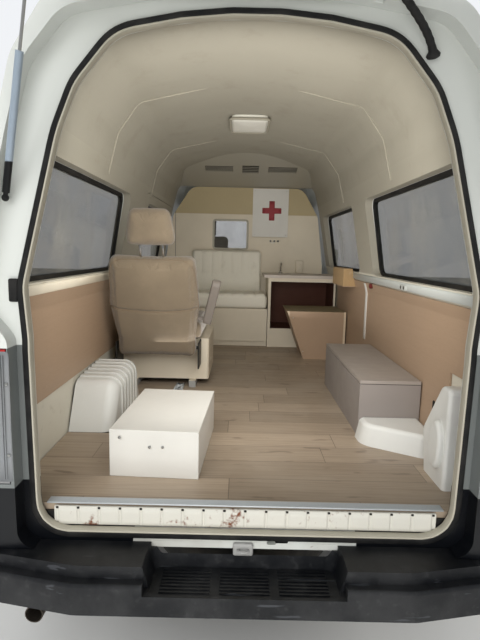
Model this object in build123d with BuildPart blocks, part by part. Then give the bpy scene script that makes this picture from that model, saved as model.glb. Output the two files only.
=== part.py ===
from build123d import *
from math import cos, hypot, radians, sin
import os

# High-roof one-box ambulance with its top-hinged tailgate open.
# Millimetres. X points forward, Y to the left and Z up. A "station" is a distance forward
# from the rearmost face of the rear bumper; st() turns it into X. The origin lies on the
# ground, midway between the open tailgate's edge and the front bumper.

os.makedirs("parts", exist_ok=True)

# Driving dimensions
ORIGIN_STATION = 1772
WHEELBASE = 2715
REAR_AXLE = 1140
FRONT_AXLE = REAR_AXLE + WHEELBASE
WHEEL_TRACK = 735
TYRE_RADIUS = 346
ARCH_RADIUS = 400
FLOOR_TOP = 640
FLOOR_PAN_TOP = 618
FLOOR_PAN_BOTTOM = 600
CAB_FLOOR = 950
GUTTER = 1870
FRAME_DEPTH = 320
BODY_FRONT = 4700
BULKHEAD = 3365
BULKHEAD_THICKNESS = 20
SHEET = 18

# Gaps and layers of the moving panels
DOOR_GAP = 8
SKIN = 15
DOOR_STEP = 30
DOOR_LANDING = 12
DOOR_ARCH = 450
SLIDING_GAP = 5

# Tailgate: hinge station and height, angle open, thicknesses
GATE_HINGE = (250, 2222)
GATE_OPEN = 88
GATE_SKIN = 18
GATE_DEPTH = 46
GATE_ROOM = 60
FLANGE_DEPTH = 86
FLOOR_START = 204
HINGE_Y = 350
HINGE_PIN = 5

# Gas strut ends with the tailgate closed: station, half width, height
STRUT_BODY_END = (205, 735, 1600)
STRUT_GATE_END = (265, 588, 2050)
STRUT_CYLINDER = 400

# Half sections across the van, listed upwards: half width, height, corner radius
OUTER_SECTION = [
    (790, 360, 10),
    (838, 600, 200),
    (845, 820, 200),
    (845, 1240, 150),
    (752, 1800, 400),
    (712, 2010, 150),
    (610, 2190, 120),
    (0, 2318, 2000),
]
INNER_SECTION = [
    (748, 300, 0),
    (793, 600, 100),
    (800, 820, 100),
    (800, 1225, 40),
    (768, 1330, 60),
    (680, 1810, 300),
    (632, 2000, 120),
    (530, 2142, 110),
    (0, 2262, 1500),
]
OPENING_OUTLINE = [
    (652, 572, 95),
    (664, 1180, 300),
    (684, 1340, 150),
    (592, 1800, 500),
    (540, 1945, 200),
    (425, 2095, 150),
    (0, 2203, 1500),
]
GATE_OUTLINE = [
    (688, 548, 50),
    (698, 1190, 70),
    (783, 1285, 50),
    (797, 1345, 50),
    (712, 1800, 300),
    (672, 1990, 200),
    (560, 2140, 120),
    (0, 2245, 2000),
]
WINDSCREEN = [(722, 1168, 60), (640, 1915, 70)]
GATE_WINDOW = [(615, 1365, 60), (535, 1850, 80)]

# Side profile of the body: station, height, corner radius
SIDE_PROFILE = [
    (105, 360, 10),
    (112, 1150, 500),
    (250, 2290, 110),
    (3250, 2290, 700),
    (4000, 1975, 120),
    (4740, 1150, 150),
    (4925, 900, 250),
    (4945, 360, 20),
]
# Plan of the body: station, half width, corner radius
PLAN = [(100, 845, 60), (4850, 845, 260), (4960, 0, 2500)]

# Doors seen from the side: station, height, corner radius
DOOR_OUTLINE = [
    (3505, 560, 20),
    (3505, 1835, 60),
    (4010, 1835, 60),
    (4480, 1316, 60),
    (4480, 600, 40),
    (4150, 600, 0),
    (4150, 560, 0),
]
DOOR_GLASS = [(3590, 1320, 50), (3590, 1765, 50), (3970, 1765, 50), (4370, 1320, 30)]
DOOR_HINGE = (4480, 845)
DOOR_HINGE_HEIGHTS = (740, 1060)
SLIDING_DOOR = [(2120, 560, 40), (2120, 1835, 60), (3370, 1835, 60), (3370, 560, 40)]

# Side windows: stations of the rear and front edges
WINDOW_LOW = 1330
WINDOW_HIGH = 1775
WINDOW_RADIUS = 55
QUARTER_WINDOW = (350, 1690)
SIDE_WINDOW = (2030, 3190)
SLIDING_WINDOW = (2225, 3265)
GLASS_SET_IN = 9
GLASS_LAYER_DEPTHS = (5, 11)
RUBBER_WIDTH = 18
RUBBER_DEPTH = 24
SEAL_WIDTH = 16
SEAL_HEIGHT = 7

# Pressed details of the outer panels
LIP_WIDTH = 30
LIP_PROUD = 8
RAIN_RAIL_PROUD = 9
RAIN_RAIL_HEIGHT = 12
GROOVE_DEPTH = 3
BELT_GROOVE = (1196, 1206)
HANDLES = {"front_door": (3570, 3740, 1150), "sliding_door": (3200, 3340, 1080)}
HANDLE_HEIGHT = 42
FUEL_FLAP = (2380, 980, 170)
DOOR_TRACK = (900, 2130, 1262, 1290)
GRILLE = (440, 712, 868)
GRILLE_SLATS = (724, 752, 780, 808, 836)
PLATE_RECESS = (265, 425, 545)
AIR_INTAKE = (330, 335, 395)

# Bumpers: heights, and plans as station, y, corner radius
BUMPER_LOW = 405
BUMPER_LEDGE = 500
BUMPER_HIGH = 538
LEDGE_SET_BACK = 34
BUMPER_BACK = 163
BUMPER_PLAN_REAR = [
    (0, -500, 150),
    (0, 500, 150),
    (70, 850, 60),
    (690, 850, 0),
    (690, -850, 0),
    (70, -850, 60),
]
BUMPER_PLAN_FRONT = [
    (4990, 400, 500),
    (4990, -400, 500),
    (4880, -850, 120),
    (4240, -850, 0),
    (4240, 850, 0),
    (4880, 850, 120),
]
# Step let into the rear bumper, with three fields of tread ribs
STEP_HALF_WIDTH = 282
STEP_FLOOR = 460
STEP_RIM = 14
STEP_DRAFT = -14
TREAD_FIELDS = (-178, 0, 178)
TREAD_RIBS = 8
TREAD_PITCH = 15
TREAD_LENGTH = 150

# Wheels
KINGPIN = 660
SPINDLE_RADIUS = 20
WHEELHOUSE_RADIUS = 400
WHEELHOUSE_INNER = 608
WHEEL_HOLES = 10
SIDES = {"left": 1, "right": -1}
WHEELS = {
    "front_left": (FRONT_AXLE, 1),
    "front_right": (FRONT_AXLE, -1),
    "rear_left": (REAR_AXLE, 1),
    "rear_right": (REAR_AXLE, -1),
}
# Tyre section: distance outboard of the wheel's centre plane, radius, corner radius
TYRE_PROFILE = [
    (-81, 176, 0),
    (-81, 194, 0),
    (-98, 245, 40),
    (-90, 346, 28),
    (90, 346, 28),
    (98, 245, 40),
    (81, 194, 0),
    (81, 176, 0),
    (62, 176, 0),
    (80, 245, 30),
    (72, 322, 20),
    (-72, 322, 20),
    (-80, 245, 30),
    (-62, 176, 0),
]
# Rim section with disc and hub: distance outboard, radius
RIM_PROFILE = [
    (-88, 192),
    (-82, 192),
    (-82, 176),
    (-35, 176),
    (-30, 160),
    (30, 160),
    (35, 176),
    (82, 176),
    (82, 192),
    (88, 192),
    (88, 170),
    (38, 152),
    (34, 120),
    (46, 85),
    (46, 34),
    (30, 34),
    (30, 0),
    (24, 0),
    (24, 20.1),
    (-34, 20.1),
    (-34, 62),
    (34, 66),
    (24, 120),
    (28, 152),
    (-34, 152),
    (-40, 168),
    (-88, 168),
]

# Ladder frame: rails, stations of cross members and outriggers, jacking pads and towing eyes
RAIL_Y = (370, 430)
RAIL_Z = (470, 595)
RAIL_WALL = 6
RAIL_STATIONS = (FRAME_DEPTH + 5, BODY_FRONT)
MEMBER_WIDTH = 60
CROSS_MEMBERS = (330, 900, 1700, 2400, 3000, 3400, 4600)
MEMBER_Z = (500, 588)
OUTRIGGERS = (500, 1700, 2700, 3380)
OUTRIGGER_END = 740
OUTRIGGER_Z = (540, 588)
JACKING_PADS = (1690, 3370)
JACKING_PAD_Y = (560, 640)
JACKING_PAD_Z = 520
# Towing lugs: flat plates on the rails' lower flanges, each with a vertical eye
TOWING_LUGS = ((262, 345), (4602, 4698))
TOWING_LUG_END = 515
TOWING_LUG_THICKNESS = 12
TOWING_EYE_Y = 475
TOWING_EYE_RADIUS = 20

# Leaf springs: lengths of the leaves from the top one down
LEAF_LENGTHS = (1240, 900, 560)
LEAF_RADIUS = 4290
LEAF = 11
SPRING_LOW = 300
SPRING_Y = (475, 535)

# Centre line of the exhaust pipe: station, y, height
EXHAUST_ROUTE = [
    (3350, 330, 430),
    (2900, 500, 430),
    (2100, 500, 430),
    (1800, 578, 460),
    (1500, 578, 488),
    (800, 578, 488),
    (560, 640, 390),
    (360, 650, 328),
    (95, 650, 328),
]
PIPE_RADIUS = 28
PIPE_BORE = 25
MUFFLER = (2250, 2750, 70)

# Bulkhead seen from behind: y, height, corner radius
BULKHEAD_OUTLINE = [
    (745, FLOOR_TOP, 0),
    (745, 1330, 60),
    (668, 1780, 100),
    (500, 2035, 120),
    (-520, 2035, 120),
    (-668, 1780, 100),
    (-726, 1330, 60),
    (-726, FLOOR_TOP, 0),
]
BULKHEAD_WINDOW = ((-18, 292), (1478, 1736))
BULKHEAD_SEAM = 1790
CROSS_BOARD = ((-392, -64), (1592, 2028))
SOCKET_STRIP = ((-392, -64), (1523, 1586))

# Overhead housing: a wedge under the ceiling, with air vents let into its sloping face
HOUSING_WEDGE = [(2620, 2262), (3364, 2038), (3364, 2262)]
# Air vents: y of the middle, width, length along the slope
VENTS = ((236, 236, 110), (-30, 140, 150), (-301, 244, 110))
VENT_STATION = 3017
VENT_SLATS = 5

# Attendant seat
SEAT_CENTRE = 500
SEAT_PIVOT = (1505, 900)
SEAT_RECLINE = 20
SEAT_BACK_LOW = 860
SEAT_BACK_DEPTH = 95
# Right half of the seat back's outline: half width, distance up the back, corner radius
SEAT_BACK_HALF = [(225, 0, 40), (225, 120, 80), (255, 330, 200), (228, 600, 60)]
HEAD_RESTRAINT = (250, 180, 75)
ARMREST_PIVOT = (1440, 1080)
ARMREST_MIDDLE = 212
ARMREST_SPLAY = 13
ARMREST_SIZE = (270, 62, 48)
SEAT_PIN = 10
PIN_CLEARANCE = 0.5

STEERING_WHEEL = (4290, -400, 1180)
STEERING_TILT = 35
STEERING_RADIUS = 183

# Left wheelhouse cover seen from the side: station, height, corner radius
ARCH_COVER = [(812, FLOOR_TOP - 20, 0), (940, 845, 60), (1330, 862, 60), (1475, FLOOR_TOP - 20, 0)]
ARCH_COVER_INNER = 592
ARCH_COVER_RIBS = (1000, 1062, 1124, 1186, 1248, 1310)
RIB_WIDTH = 24
RIB_PROUD = 7

# Right rear floor moulding in plan: station, y, corner radius
FLOOR_MOULDING = [(1000, -800, 0), (1000, -500, 0), (752, -500, 90), (620, -716, 40), (604, -800, 0)]
# Right corner moulding seen from the side: station, height, corner radius
CORNER_MOULDING = [(340, FLOOR_TOP, 0), (340, 1005, 20), (410, 1005, 40), (560, 800, 50), (525, FLOOR_TOP, 0)]
CORNER_BOSS = (400, 790)

# Slanted box seen from behind: y, height
SLANTED_BOX = [(-464, FLOOR_TOP), (-780, FLOOR_TOP), (-780, 1010), (-330, 1010)]
SLANTED_STATIONS = (2452, 2872)
BOARD = 16
WHITE_BOX_YAW = radians(2.8)


def st(station):
    """X of a station."""
    return station - ORIGIN_STATION


def write(piece, label):
    """Label a finished piece and save it."""
    piece.part.label = label
    export_step(piece.part, f"parts/{label}.step")


def mirrored(half):
    """Both halves of an outline from its left half, listed upwards."""
    other = [(-a, h, r) for a, h, r in reversed(half) if a != 0]
    return list(half) + other


def stationed(rows):
    """Rows that start with a station, with the station turned into X."""
    return [(st(s), b, r) for s, b, r in rows]


def rounded(rows, plane, grow=0):
    """Closed face on a plane from rows of x, y, corner radius, grown outwards by an amount."""
    with BuildSketch(plane) as face:
        with BuildLine():
            FilletPolyline(*[(a, b) for a, b, r in rows], radius=[r for a, b, r in rows], close=True)
        make_face()
        if grow:
            offset(amount=grow, kind=Kind.INTERSECTION)
    return face.sketch


def across(rows, grow=0, start=-300, length=5600):
    """Solid with a half section, run along the van from a station."""
    with BuildPart() as solid:
        extrude(rounded(mirrored(rows), Plane.YZ.offset(st(start)), grow), amount=length)
    return solid.part


def sideways(rows, grow=0, near=0, far=1000):
    """Solid with a side outline, run from y = near to y = far."""
    with BuildPart() as solid:
        extrude(rounded(stationed(rows), Plane.XZ.offset(-near), grow), amount=near - far)
    return solid.part


def form(inset):
    """The body's outer form moved inwards: its section, side profile and plan together."""
    plan = list(PLAN) + [(s, -w, r) for s, w, r in reversed(PLAN) if w != 0]
    with BuildPart() as solid:
        add(across(OUTER_SECTION, -inset))
        extrude(rounded(stationed(SIDE_PROFILE), Plane.XZ, -inset), amount=1000, both=True,
                mode=Mode.INTERSECT)
        extrude(rounded(stationed(plan), Plane.XY.offset(200), -inset), amount=2300, mode=Mode.INTERSECT)
    return solid.part


def block(station, y, z):
    """Box from pairs of station, y and height."""
    with BuildPart() as solid:
        with Locations((st(sum(station) / 2), sum(y) / 2, sum(z) / 2)):
            Box(abs(station[1] - station[0]), abs(y[1] - y[0]), abs(z[1] - z[0]))
    return solid.part


def layer(outer, inner):
    """What lies between two solids, one inside the other."""
    with BuildPart() as solid:
        add(outer)
        add(inner, mode=Mode.SUBTRACT)
    return solid.part


def common(*solids):
    """What all the solids share."""
    with BuildPart() as solid:
        add(solids[0])
        for other in solids[1:]:
            add(other, mode=Mode.INTERSECT)
    return solid.part


def band(rows, outer, inner, stations):
    """Layer of a half section between two offsets from it, over a pair of stations."""
    start, end = stations
    return layer(across(rows, outer, start, end - start), across(rows, inner, start - 5, end - start + 10))


def drum(station, height, radius, y):
    """Cylinder across the van between two values of y."""
    with BuildPart() as solid:
        with BuildSketch(Plane.XZ.offset(-y[0])):
            with Locations((st(station), height)):
                Circle(radius)
        extrude(amount=y[0] - y[1])
    return solid.part


def pillar(station, y, radius, z):
    """Upright cylinder between two heights."""
    with BuildPart() as solid:
        with BuildSketch(Plane.XY.offset(z[0])):
            with Locations((st(station), y)):
                Circle(radius)
        extrude(amount=z[1] - z[0])
    return solid.part


def sided(piece, side):
    """The piece as it is for side 1, or its mirror image in the middle plane for side -1."""
    return piece if side > 0 else piece.mirror(Plane.XZ)


def window_rows(window):
    """Rounded window outline from its rear and front stations."""
    rear, front = window
    corners = [(rear, WINDOW_LOW), (rear, WINDOW_HIGH), (front, WINDOW_HIGH), (front, WINDOW_LOW)]
    return [(s, z, WINDOW_RADIUS) for s, z in corners]


def profile_slab(near, far):
    """Layer of the body between two depths under its side profile, for the rear end."""
    with BuildPart() as slab:
        extrude(rounded(stationed(SIDE_PROFILE), Plane.XZ, -near), amount=1000, both=True)
        extrude(rounded(stationed(SIDE_PROFILE), Plane.XZ, -far), amount=1010, both=True, mode=Mode.SUBTRACT)
        add(block((0, 450), (-1000, 1000), (0, 2400)), mode=Mode.INTERSECT)
    return slab.part


# The body's form, and layers of it that panels, glass and rubber are cut from
OUTSIDE = form(0)
UNDER_SKIN = form(SKIN)
UNDER_FLANGE = form(SKIN + 6)
WALL_45 = form(45)
GLASS_LAYER = layer(form(GLASS_LAYER_DEPTHS[0]), form(GLASS_LAYER_DEPTHS[1]))
RUBBER_LAYER = layer(OUTSIDE, form(RUBBER_DEPTH))
FACE_LAYER = layer(form(1), form(14))

# The hollow inside: load space and cab, and the way out of the rear opening
UNDERBODY = block((FRAME_DEPTH, BODY_FRONT), (-740, 740), (300, 620))
with BuildPart() as hollow:
    add(across(INNER_SECTION, start=FRAME_DEPTH, length=BODY_FRONT - FRAME_DEPTH))
    extrude(rounded(stationed(SIDE_PROFILE), Plane.XZ, -48), amount=1000, both=True, mode=Mode.INTERSECT)
    add(WALL_45, mode=Mode.INTERSECT)
with BuildPart() as rear_hollow:
    add(common(across(INNER_SECTION, start=150, length=FRAME_DEPTH - 145), WALL_45))
    extrude(rounded(stationed(SIDE_PROFILE), Plane.XZ, -FLANGE_DEPTH), amount=1000, both=True,
            mode=Mode.INTERSECT)
    add(block((100, 400), (-900, 900), (FLOOR_PAN_BOTTOM, 2400)), mode=Mode.INTERSECT)
with BuildPart() as room:
    add(hollow.part)
    add(rear_hollow.part)
    add(common(WALL_45, block((4000, 5000), (-900, 900), (0, 2400))))
    add(UNDERBODY)
with BuildPart() as shell:
    add(OUTSIDE)
    add(room.part, mode=Mode.SUBTRACT)
    add(across(OPENING_OUTLINE, start=0, length=FRAME_DEPTH + 100), mode=Mode.SUBTRACT)

# Space that the closed tailgate fills, cut into the rear of the body
with BuildPart() as gate_recess:
    add(across(GATE_OUTLINE, grow=DOOR_GAP, start=0, length=450))
    extrude(rounded(stationed(SIDE_PROFILE), Plane.XZ, -GATE_ROOM), amount=1000, both=True,
            mode=Mode.SUBTRACT)

# Wheel arches: what is cut out of the left side, and the pressed lip round each
with BuildPart() as arch_cutter:
    for axle in (REAR_AXLE, FRONT_AXLE):
        add(drum(axle, TYRE_RADIUS, ARCH_RADIUS, (500, 1000)))
with BuildPart() as lip_rings:
    for axle in (REAR_AXLE, FRONT_AXLE):
        add(drum(axle, TYRE_RADIUS, ARCH_RADIUS + LIP_WIDTH, (500, 1000)))
    add(arch_cutter.part, mode=Mode.SUBTRACT)
    add(block((0, 4999), (0, 1000), (-400, 362)), mode=Mode.SUBTRACT)
ARCH_LIPS = common(band(OUTER_SECTION, LIP_PROUD, -2, (600, 4400)), lip_rings.part)

# Shallow grooves: the belt line on both sides, and the fuel flap's edge on the right
BELT = common(
    band(OUTER_SECTION, 5, -GROOVE_DEPTH, (165, 4700)),
    block((0, 5000), (-900, 900), BELT_GROOVE),
)
with BuildPart() as flap_ring:
    with BuildSketch(Plane.XZ.offset(500)):
        with Locations((st(FUEL_FLAP[0]), FUEL_FLAP[1])):
            RectangleRounded(FUEL_FLAP[2], FUEL_FLAP[2], 20)
            RectangleRounded(FUEL_FLAP[2] - 6, FUEL_FLAP[2] - 6, 17, mode=Mode.SUBTRACT)
    extrude(amount=400)
FLAP_GROOVE = common(band(OUTER_SECTION, 5, -GROOVE_DEPTH, (2200, 2560)), flap_ring.part)


def tail_lamp(side, grow):
    """Upright lamp at a rear corner, with room round it for its place in the body."""
    return common(
        OUTSIDE, block((90, 200 + grow), (side * (712 - grow), side * 900), (750 - grow, 1160 + grow))
    )


def headlamp(side, grow):
    """Lamp at a front corner."""
    return common(
        OUTSIDE, block((4830 - grow, 5000), (side * (470 - grow), side * 900), (700 - grow, 880 + grow))
    )


def door_block(grow):
    """Left front door outline grown by an amount, with its wheel arch cut back by the same amount."""
    return layer(
        sideways(DOOR_OUTLINE, grow, near=400), drum(FRONT_AXLE, TYRE_RADIUS, DOOR_ARCH - grow, (400, 1010))
    )


def handle(place):
    """Recess of a left door handle and the bar across it."""
    start, end, low = HANDLES[place]
    recess = block((start, end), (822, 900), (low, low + HANDLE_HEIGHT))
    bar = block((start - 1, end + 1), (830, 842), (low + 14, low + 30))
    return recess, bar


# Stepped aperture that a front door closes
with BuildPart() as door_space:
    add(door_block(DOOR_GAP))
    add(UNDER_FLANGE, mode=Mode.SUBTRACT)
    add(door_block(-DOOR_LANDING))
door_step = common(layer(door_block(2), door_block(-DOOR_STEP)), UNDER_SKIN)

# Exposed door hinges: a knuckle on the nose and one on the door above it, on one pin line
with BuildPart() as nose_knuckles:
    for low in DOOR_HINGE_HEIGHTS:
        add(pillar(*DOOR_HINGE, 6, (low, low + 28)))
        add(block((4482, 4512), (836, 849), (low, low + 28)))
with BuildPart() as door_knuckles:
    for low in DOOR_HINGE_HEIGHTS:
        add(pillar(*DOOR_HINGE, 6, (low + 29, low + 57)))
        add(block((4450, 4480), (836, 849), (low + 29, low + 57)))
with BuildPart() as knuckle_room:
    for low in DOOR_HINGE_HEIGHTS:
        add(pillar(*DOOR_HINGE, 9, (low - 1, low + 28.5)))
with BuildPart() as nose_room:
    for low in DOOR_HINGE_HEIGHTS:
        add(pillar(*DOOR_HINGE, 9, (low + 28.5, low + 58)))

# Tailgate hinges: slots in the roof's rear edge, each crossed by a pin
with BuildPart() as hinge_slots:
    for side in (1, -1):
        add(block((150, 268), (side * (HINGE_Y - 18), side * (HINGE_Y + 18)), (2180, 2300)))
with BuildPart() as hinge_pins:
    for side in (1, -1):
        add(drum(*GATE_HINGE, HINGE_PIN, (side * (HINGE_Y - 22), side * (HINGE_Y + 22))))

# Rear frame: corner pillars, header and sill around the rear opening
with BuildPart() as rear_frame:
    add(shell.part)
    add(block((0, FRAME_DEPTH), (-900, 900), (0, 2400)), mode=Mode.INTERSECT)
    add(gate_recess.part, mode=Mode.SUBTRACT)
    add(block((BUMPER_BACK + 2, FRAME_DEPTH), (-700, 700), (300, 520)), mode=Mode.SUBTRACT)
    add(block((0, BUMPER_BACK + 2), (-700, 700), (300, BUMPER_HIGH + 3)), mode=Mode.SUBTRACT)
    with BuildSketch(Plane.YZ.offset(st(0))):
        with Locations((-85, 540)):
            SlotOverall(30, 12)
    extrude(amount=200, mode=Mode.SUBTRACT)
    for side in (1, -1):
        with BuildSketch(Plane.YZ.offset(st(STRUT_BODY_END[0] + 11.5))):
            with Locations((side * STRUT_BODY_END[1], STRUT_BODY_END[2])):
                Circle(5)
        extrude(amount=20)
        add(tail_lamp(side, 3), mode=Mode.SUBTRACT)
    add(hinge_slots.part, mode=Mode.SUBTRACT)
    add(hinge_pins.part)
    add(BELT, mode=Mode.SUBTRACT)
write(rear_frame, "rear_frame")

# Tail lamps with two grooves that part the lenses
with BuildPart() as tail_lamps:
    for side in (1, -1):
        add(tail_lamp(side, 0))
    for low in (880, 1030):
        lens_gap = block((90, 210), (-900, 900), (low, low + 5))
        add(common(layer(OUTSIDE, form(4)), lens_gap), mode=Mode.SUBTRACT)
write(tail_lamps, "tail_lamps")

# Rubber weatherstrip on the frame around the opening
with BuildPart() as weatherstrip:
    add(across(OPENING_OUTLINE, grow=SEAL_WIDTH, start=0, length=450))
    add(across(OPENING_OUTLINE, start=-10, length=480), mode=Mode.SUBTRACT)
    add(profile_slab(GATE_ROOM - SEAL_HEIGHT, GATE_ROOM), mode=Mode.INTERSECT)
    add(block((0, 330), (-900, 900), (0, 2250)), mode=Mode.INTERSECT)

# Windows seen from the side: outline rows, side, and the panel that holds the window
WINDOWS = {
    "left_quarter_glass": (window_rows(QUARTER_WINDOW), 1, "left_body_side"),
    "right_quarter_glass": (window_rows(QUARTER_WINDOW), -1, "right_body_side"),
    "right_side_glass": (window_rows(SIDE_WINDOW), -1, "right_body_side"),
    "sliding_door_glass": (window_rows(SLIDING_WINDOW), 1, "sliding_door"),
    "left_front_door_glass": (DOOR_GLASS, 1, "left_front_door"),
    "right_front_door_glass": (DOOR_GLASS, -1, "right_front_door"),
}
DOOR_WINDOWS = ("left_front_door_glass", "right_front_door_glass")
window_holes = {}
for name, (rows, side, host) in WINDOWS.items():
    window_holes[name] = sided(sideways(rows, near=400), side)


def holes_of(panel):
    """Window holes in a panel."""
    return [window_holes[name] for name, (rows, side, host) in WINDOWS.items() if host == panel]


# Body sides, roof, nose
with BuildPart() as windscreen_hole:
    extrude(rounded(mirrored(WINDSCREEN), Plane.YZ.offset(st(3900))), amount=1200)
with BuildPart() as side_region:
    add(block((FRAME_DEPTH, 4485), (0, 900), (0, GUTTER)))
    add(block((4000, 4850), (650, 900), (1150, GUTTER)))

for name, side in SIDES.items():
    with BuildPart() as body_side:
        add(shell.part)
        add(sided(side_region.part, side), mode=Mode.INTERSECT)
        add(windscreen_hole.part, mode=Mode.SUBTRACT)
        add(sided(arch_cutter.part, side), mode=Mode.SUBTRACT)
        add(sided(ARCH_LIPS, side))
        add(sided(door_space.part, side), mode=Mode.SUBTRACT)
        add(BELT, mode=Mode.SUBTRACT)
        if name == "left":
            track_start, track_end, track_low, track_high = DOOR_TRACK
            add(sideways(SLIDING_DOOR, SLIDING_GAP, near=400), mode=Mode.SUBTRACT)
            add(block((track_start, track_end), (825, 900), (track_low, track_high)), mode=Mode.SUBTRACT)
        else:
            add(FLAP_GROOVE, mode=Mode.SUBTRACT)
        for hole in holes_of(f"{name}_body_side"):
            add(hole, mode=Mode.SUBTRACT)
    write(body_side, f"{name}_body_side")

with BuildPart() as roof_shell:
    add(shell.part)
    add(block((FRAME_DEPTH, BODY_FRONT), (-900, 900), (GUTTER, 2400)), mode=Mode.INTERSECT)
    add(gate_recess.part, mode=Mode.SUBTRACT)
    add(windscreen_hole.part, mode=Mode.SUBTRACT)
    add(common(
        band(OUTER_SECTION, RAIN_RAIL_PROUD, -2, (FRAME_DEPTH, 4020)),
        block((0, 5000), (-900, 900), (GUTTER, GUTTER + RAIN_RAIL_HEIGHT)),
    ))
write(roof_shell, "roof_shell")

with BuildPart() as cowl:
    add(shell.part)
    add(block((4200, 5200), (-650, 650), (1150, 1300)), mode=Mode.INTERSECT)
    add(windscreen_hole.part, mode=Mode.SUBTRACT)
grille_width, grille_low, grille_high = GRILLE
with BuildPart() as grille_slats:
    for low in GRILLE_SLATS:
        add(common(FACE_LAYER, block((4850, 5000), (-grille_width, grille_width), (low, low + 12))))
with BuildPart() as front_panel:
    add(shell.part)
    add(block((4485, 5200), (-900, 900), (0, 1150)), mode=Mode.INTERSECT)
    for side in (1, -1):
        add(headlamp(side, 3), mode=Mode.SUBTRACT)
        add(sided(nose_room.part, side), mode=Mode.SUBTRACT)
        add(sided(nose_knuckles.part, side))
    add(cowl.part)
    add(common(layer(OUTSIDE, form(12)), block((4850, 5000), (-grille_width, grille_width),
                                               (grille_low, grille_high))), mode=Mode.SUBTRACT)
    add(grille_slats.part)
    add(BELT, mode=Mode.SUBTRACT)
write(front_panel, "front_panel")

with BuildPart() as headlamps:
    for side in (1, -1):
        add(headlamp(side, 0))
write(headlamps, "headlamps")

# Glass and its rubber surrounds, let into holes in the body
glasses = {}
rubbers = {}
for name, (rows, side, host) in WINDOWS.items():
    glasses[name] = common(sided(sideways(rows, -GLASS_SET_IN, near=400), side), GLASS_LAYER)
    with BuildPart() as rubber:
        add(window_holes[name])
        add(sided(sideways(rows, -RUBBER_WIDTH, near=390, far=1010), side), mode=Mode.SUBTRACT)
        add(RUBBER_LAYER, mode=Mode.INTERSECT)
        add(glasses[name], mode=Mode.SUBTRACT)
    rubbers[name] = rubber.part
for name in DOOR_WINDOWS:
    with BuildPart() as door_glass:
        add(glasses[name])
    write(door_glass, name)
with BuildPart() as windscreen:
    extrude(rounded(mirrored(WINDSCREEN), Plane.YZ.offset(st(3900)), -GLASS_SET_IN), amount=1200)
    add(GLASS_LAYER, mode=Mode.INTERSECT)
with BuildPart() as screen_rubber:
    add(windscreen_hole.part)
    extrude(rounded(mirrored(WINDSCREEN), Plane.YZ.offset(st(3890)), -RUBBER_WIDTH), amount=1300,
            mode=Mode.SUBTRACT)
    add(RUBBER_LAYER, mode=Mode.INTERSECT)
    add(windscreen.part, mode=Mode.SUBTRACT)
fixed_names = [name for name in glasses if name not in DOOR_WINDOWS]
with BuildPart() as fixed_glass:
    add(windscreen.part)
    for name in fixed_names:
        add(glasses[name])
write(fixed_glass, "fixed_glass")
with BuildPart() as rubber_seals:
    add(weatherstrip.part)
    add(screen_rubber.part)
    for name in fixed_names:
        add(rubbers[name])
write(rubber_seals, "rubber_seals")

# Door mirror of the left side: foot, stem and head
with BuildPart() as door_mirror:
    add(block((4330, 4390), (840, 895), (1240, 1268)))
    add(block((4342, 4372), (880, 905), (1240, 1400)))
    with BuildSketch(Plane.YZ.offset(st(4330))):
        with Locations((975, 1395)):
            RectangleRounded(170, 215, 38)
    extrude(amount=55)

# Front doors: an outer skin that fills the aperture and a thicker, smaller inner part
for name, side in SIDES.items():
    recess, bar = handle("front_door")
    with BuildPart() as door:
        add(shell.part)
        add(sided(door_block(0), side), mode=Mode.INTERSECT)
        add(sided(door_step, side), mode=Mode.SUBTRACT)
        add(sided(recess, side), mode=Mode.SUBTRACT)
        add(sided(bar, side))
        add(BELT, mode=Mode.SUBTRACT)
        for hole in holes_of(f"{name}_front_door"):
            add(hole, mode=Mode.SUBTRACT)
        add(sided(knuckle_room.part, side), mode=Mode.SUBTRACT)
        add(sided(door_knuckles.part, side))
        add(sided(door_mirror.part, side))
        add(rubbers[f"{name}_front_door_glass"])
    write(door, f"{name}_front_door")

recess, bar = handle("sliding_door")
with BuildPart() as sliding_door:
    add(shell.part)
    add(sideways(SLIDING_DOOR, 0, near=400), mode=Mode.INTERSECT)
    add(arch_cutter.part, mode=Mode.SUBTRACT)
    add(recess, mode=Mode.SUBTRACT)
    add(bar)
    add(BELT, mode=Mode.SUBTRACT)
    for hole in holes_of("sliding_door"):
        add(hole, mode=Mode.SUBTRACT)
write(sliding_door, "sliding_door")

# Tailgate, made closed and then swung open
GATE_AXIS = Axis((st(GATE_HINGE[0]), 0, GATE_HINGE[1]), (0, 1, 0))
GATE_SPACE = (0, 450)
gate_window = rounded(mirrored(GATE_WINDOW), Plane.YZ.offset(st(0)))
with BuildPart() as gate_inner_panel:
    add(across(OPENING_OUTLINE, grow=8, start=0, length=450))
    add(profile_slab(GATE_SKIN - 2, GATE_DEPTH), mode=Mode.INTERSECT)
    add(block(GATE_SPACE, (-900, 900), (0, 2200)), mode=Mode.INTERSECT)
    add(common(profile_slab(GATE_DEPTH - 12, 80), block(GATE_SPACE, (-480, 480), (700, 1200))),
        mode=Mode.SUBTRACT)
# Hinge arms: an eye on the pin and a stem down to the skin
with BuildPart() as gate_arms:
    for side in (1, -1):
        arm_y = (side * (HINGE_Y - 8), side * (HINGE_Y + 8))
        add(drum(*GATE_HINGE, 11, arm_y))
        add(block((241, 259), arm_y, (2140, GATE_HINGE[1])))
        add(drum(*GATE_HINGE, HINGE_PIN + PIN_CLEARANCE, arm_y), mode=Mode.SUBTRACT)
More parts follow.
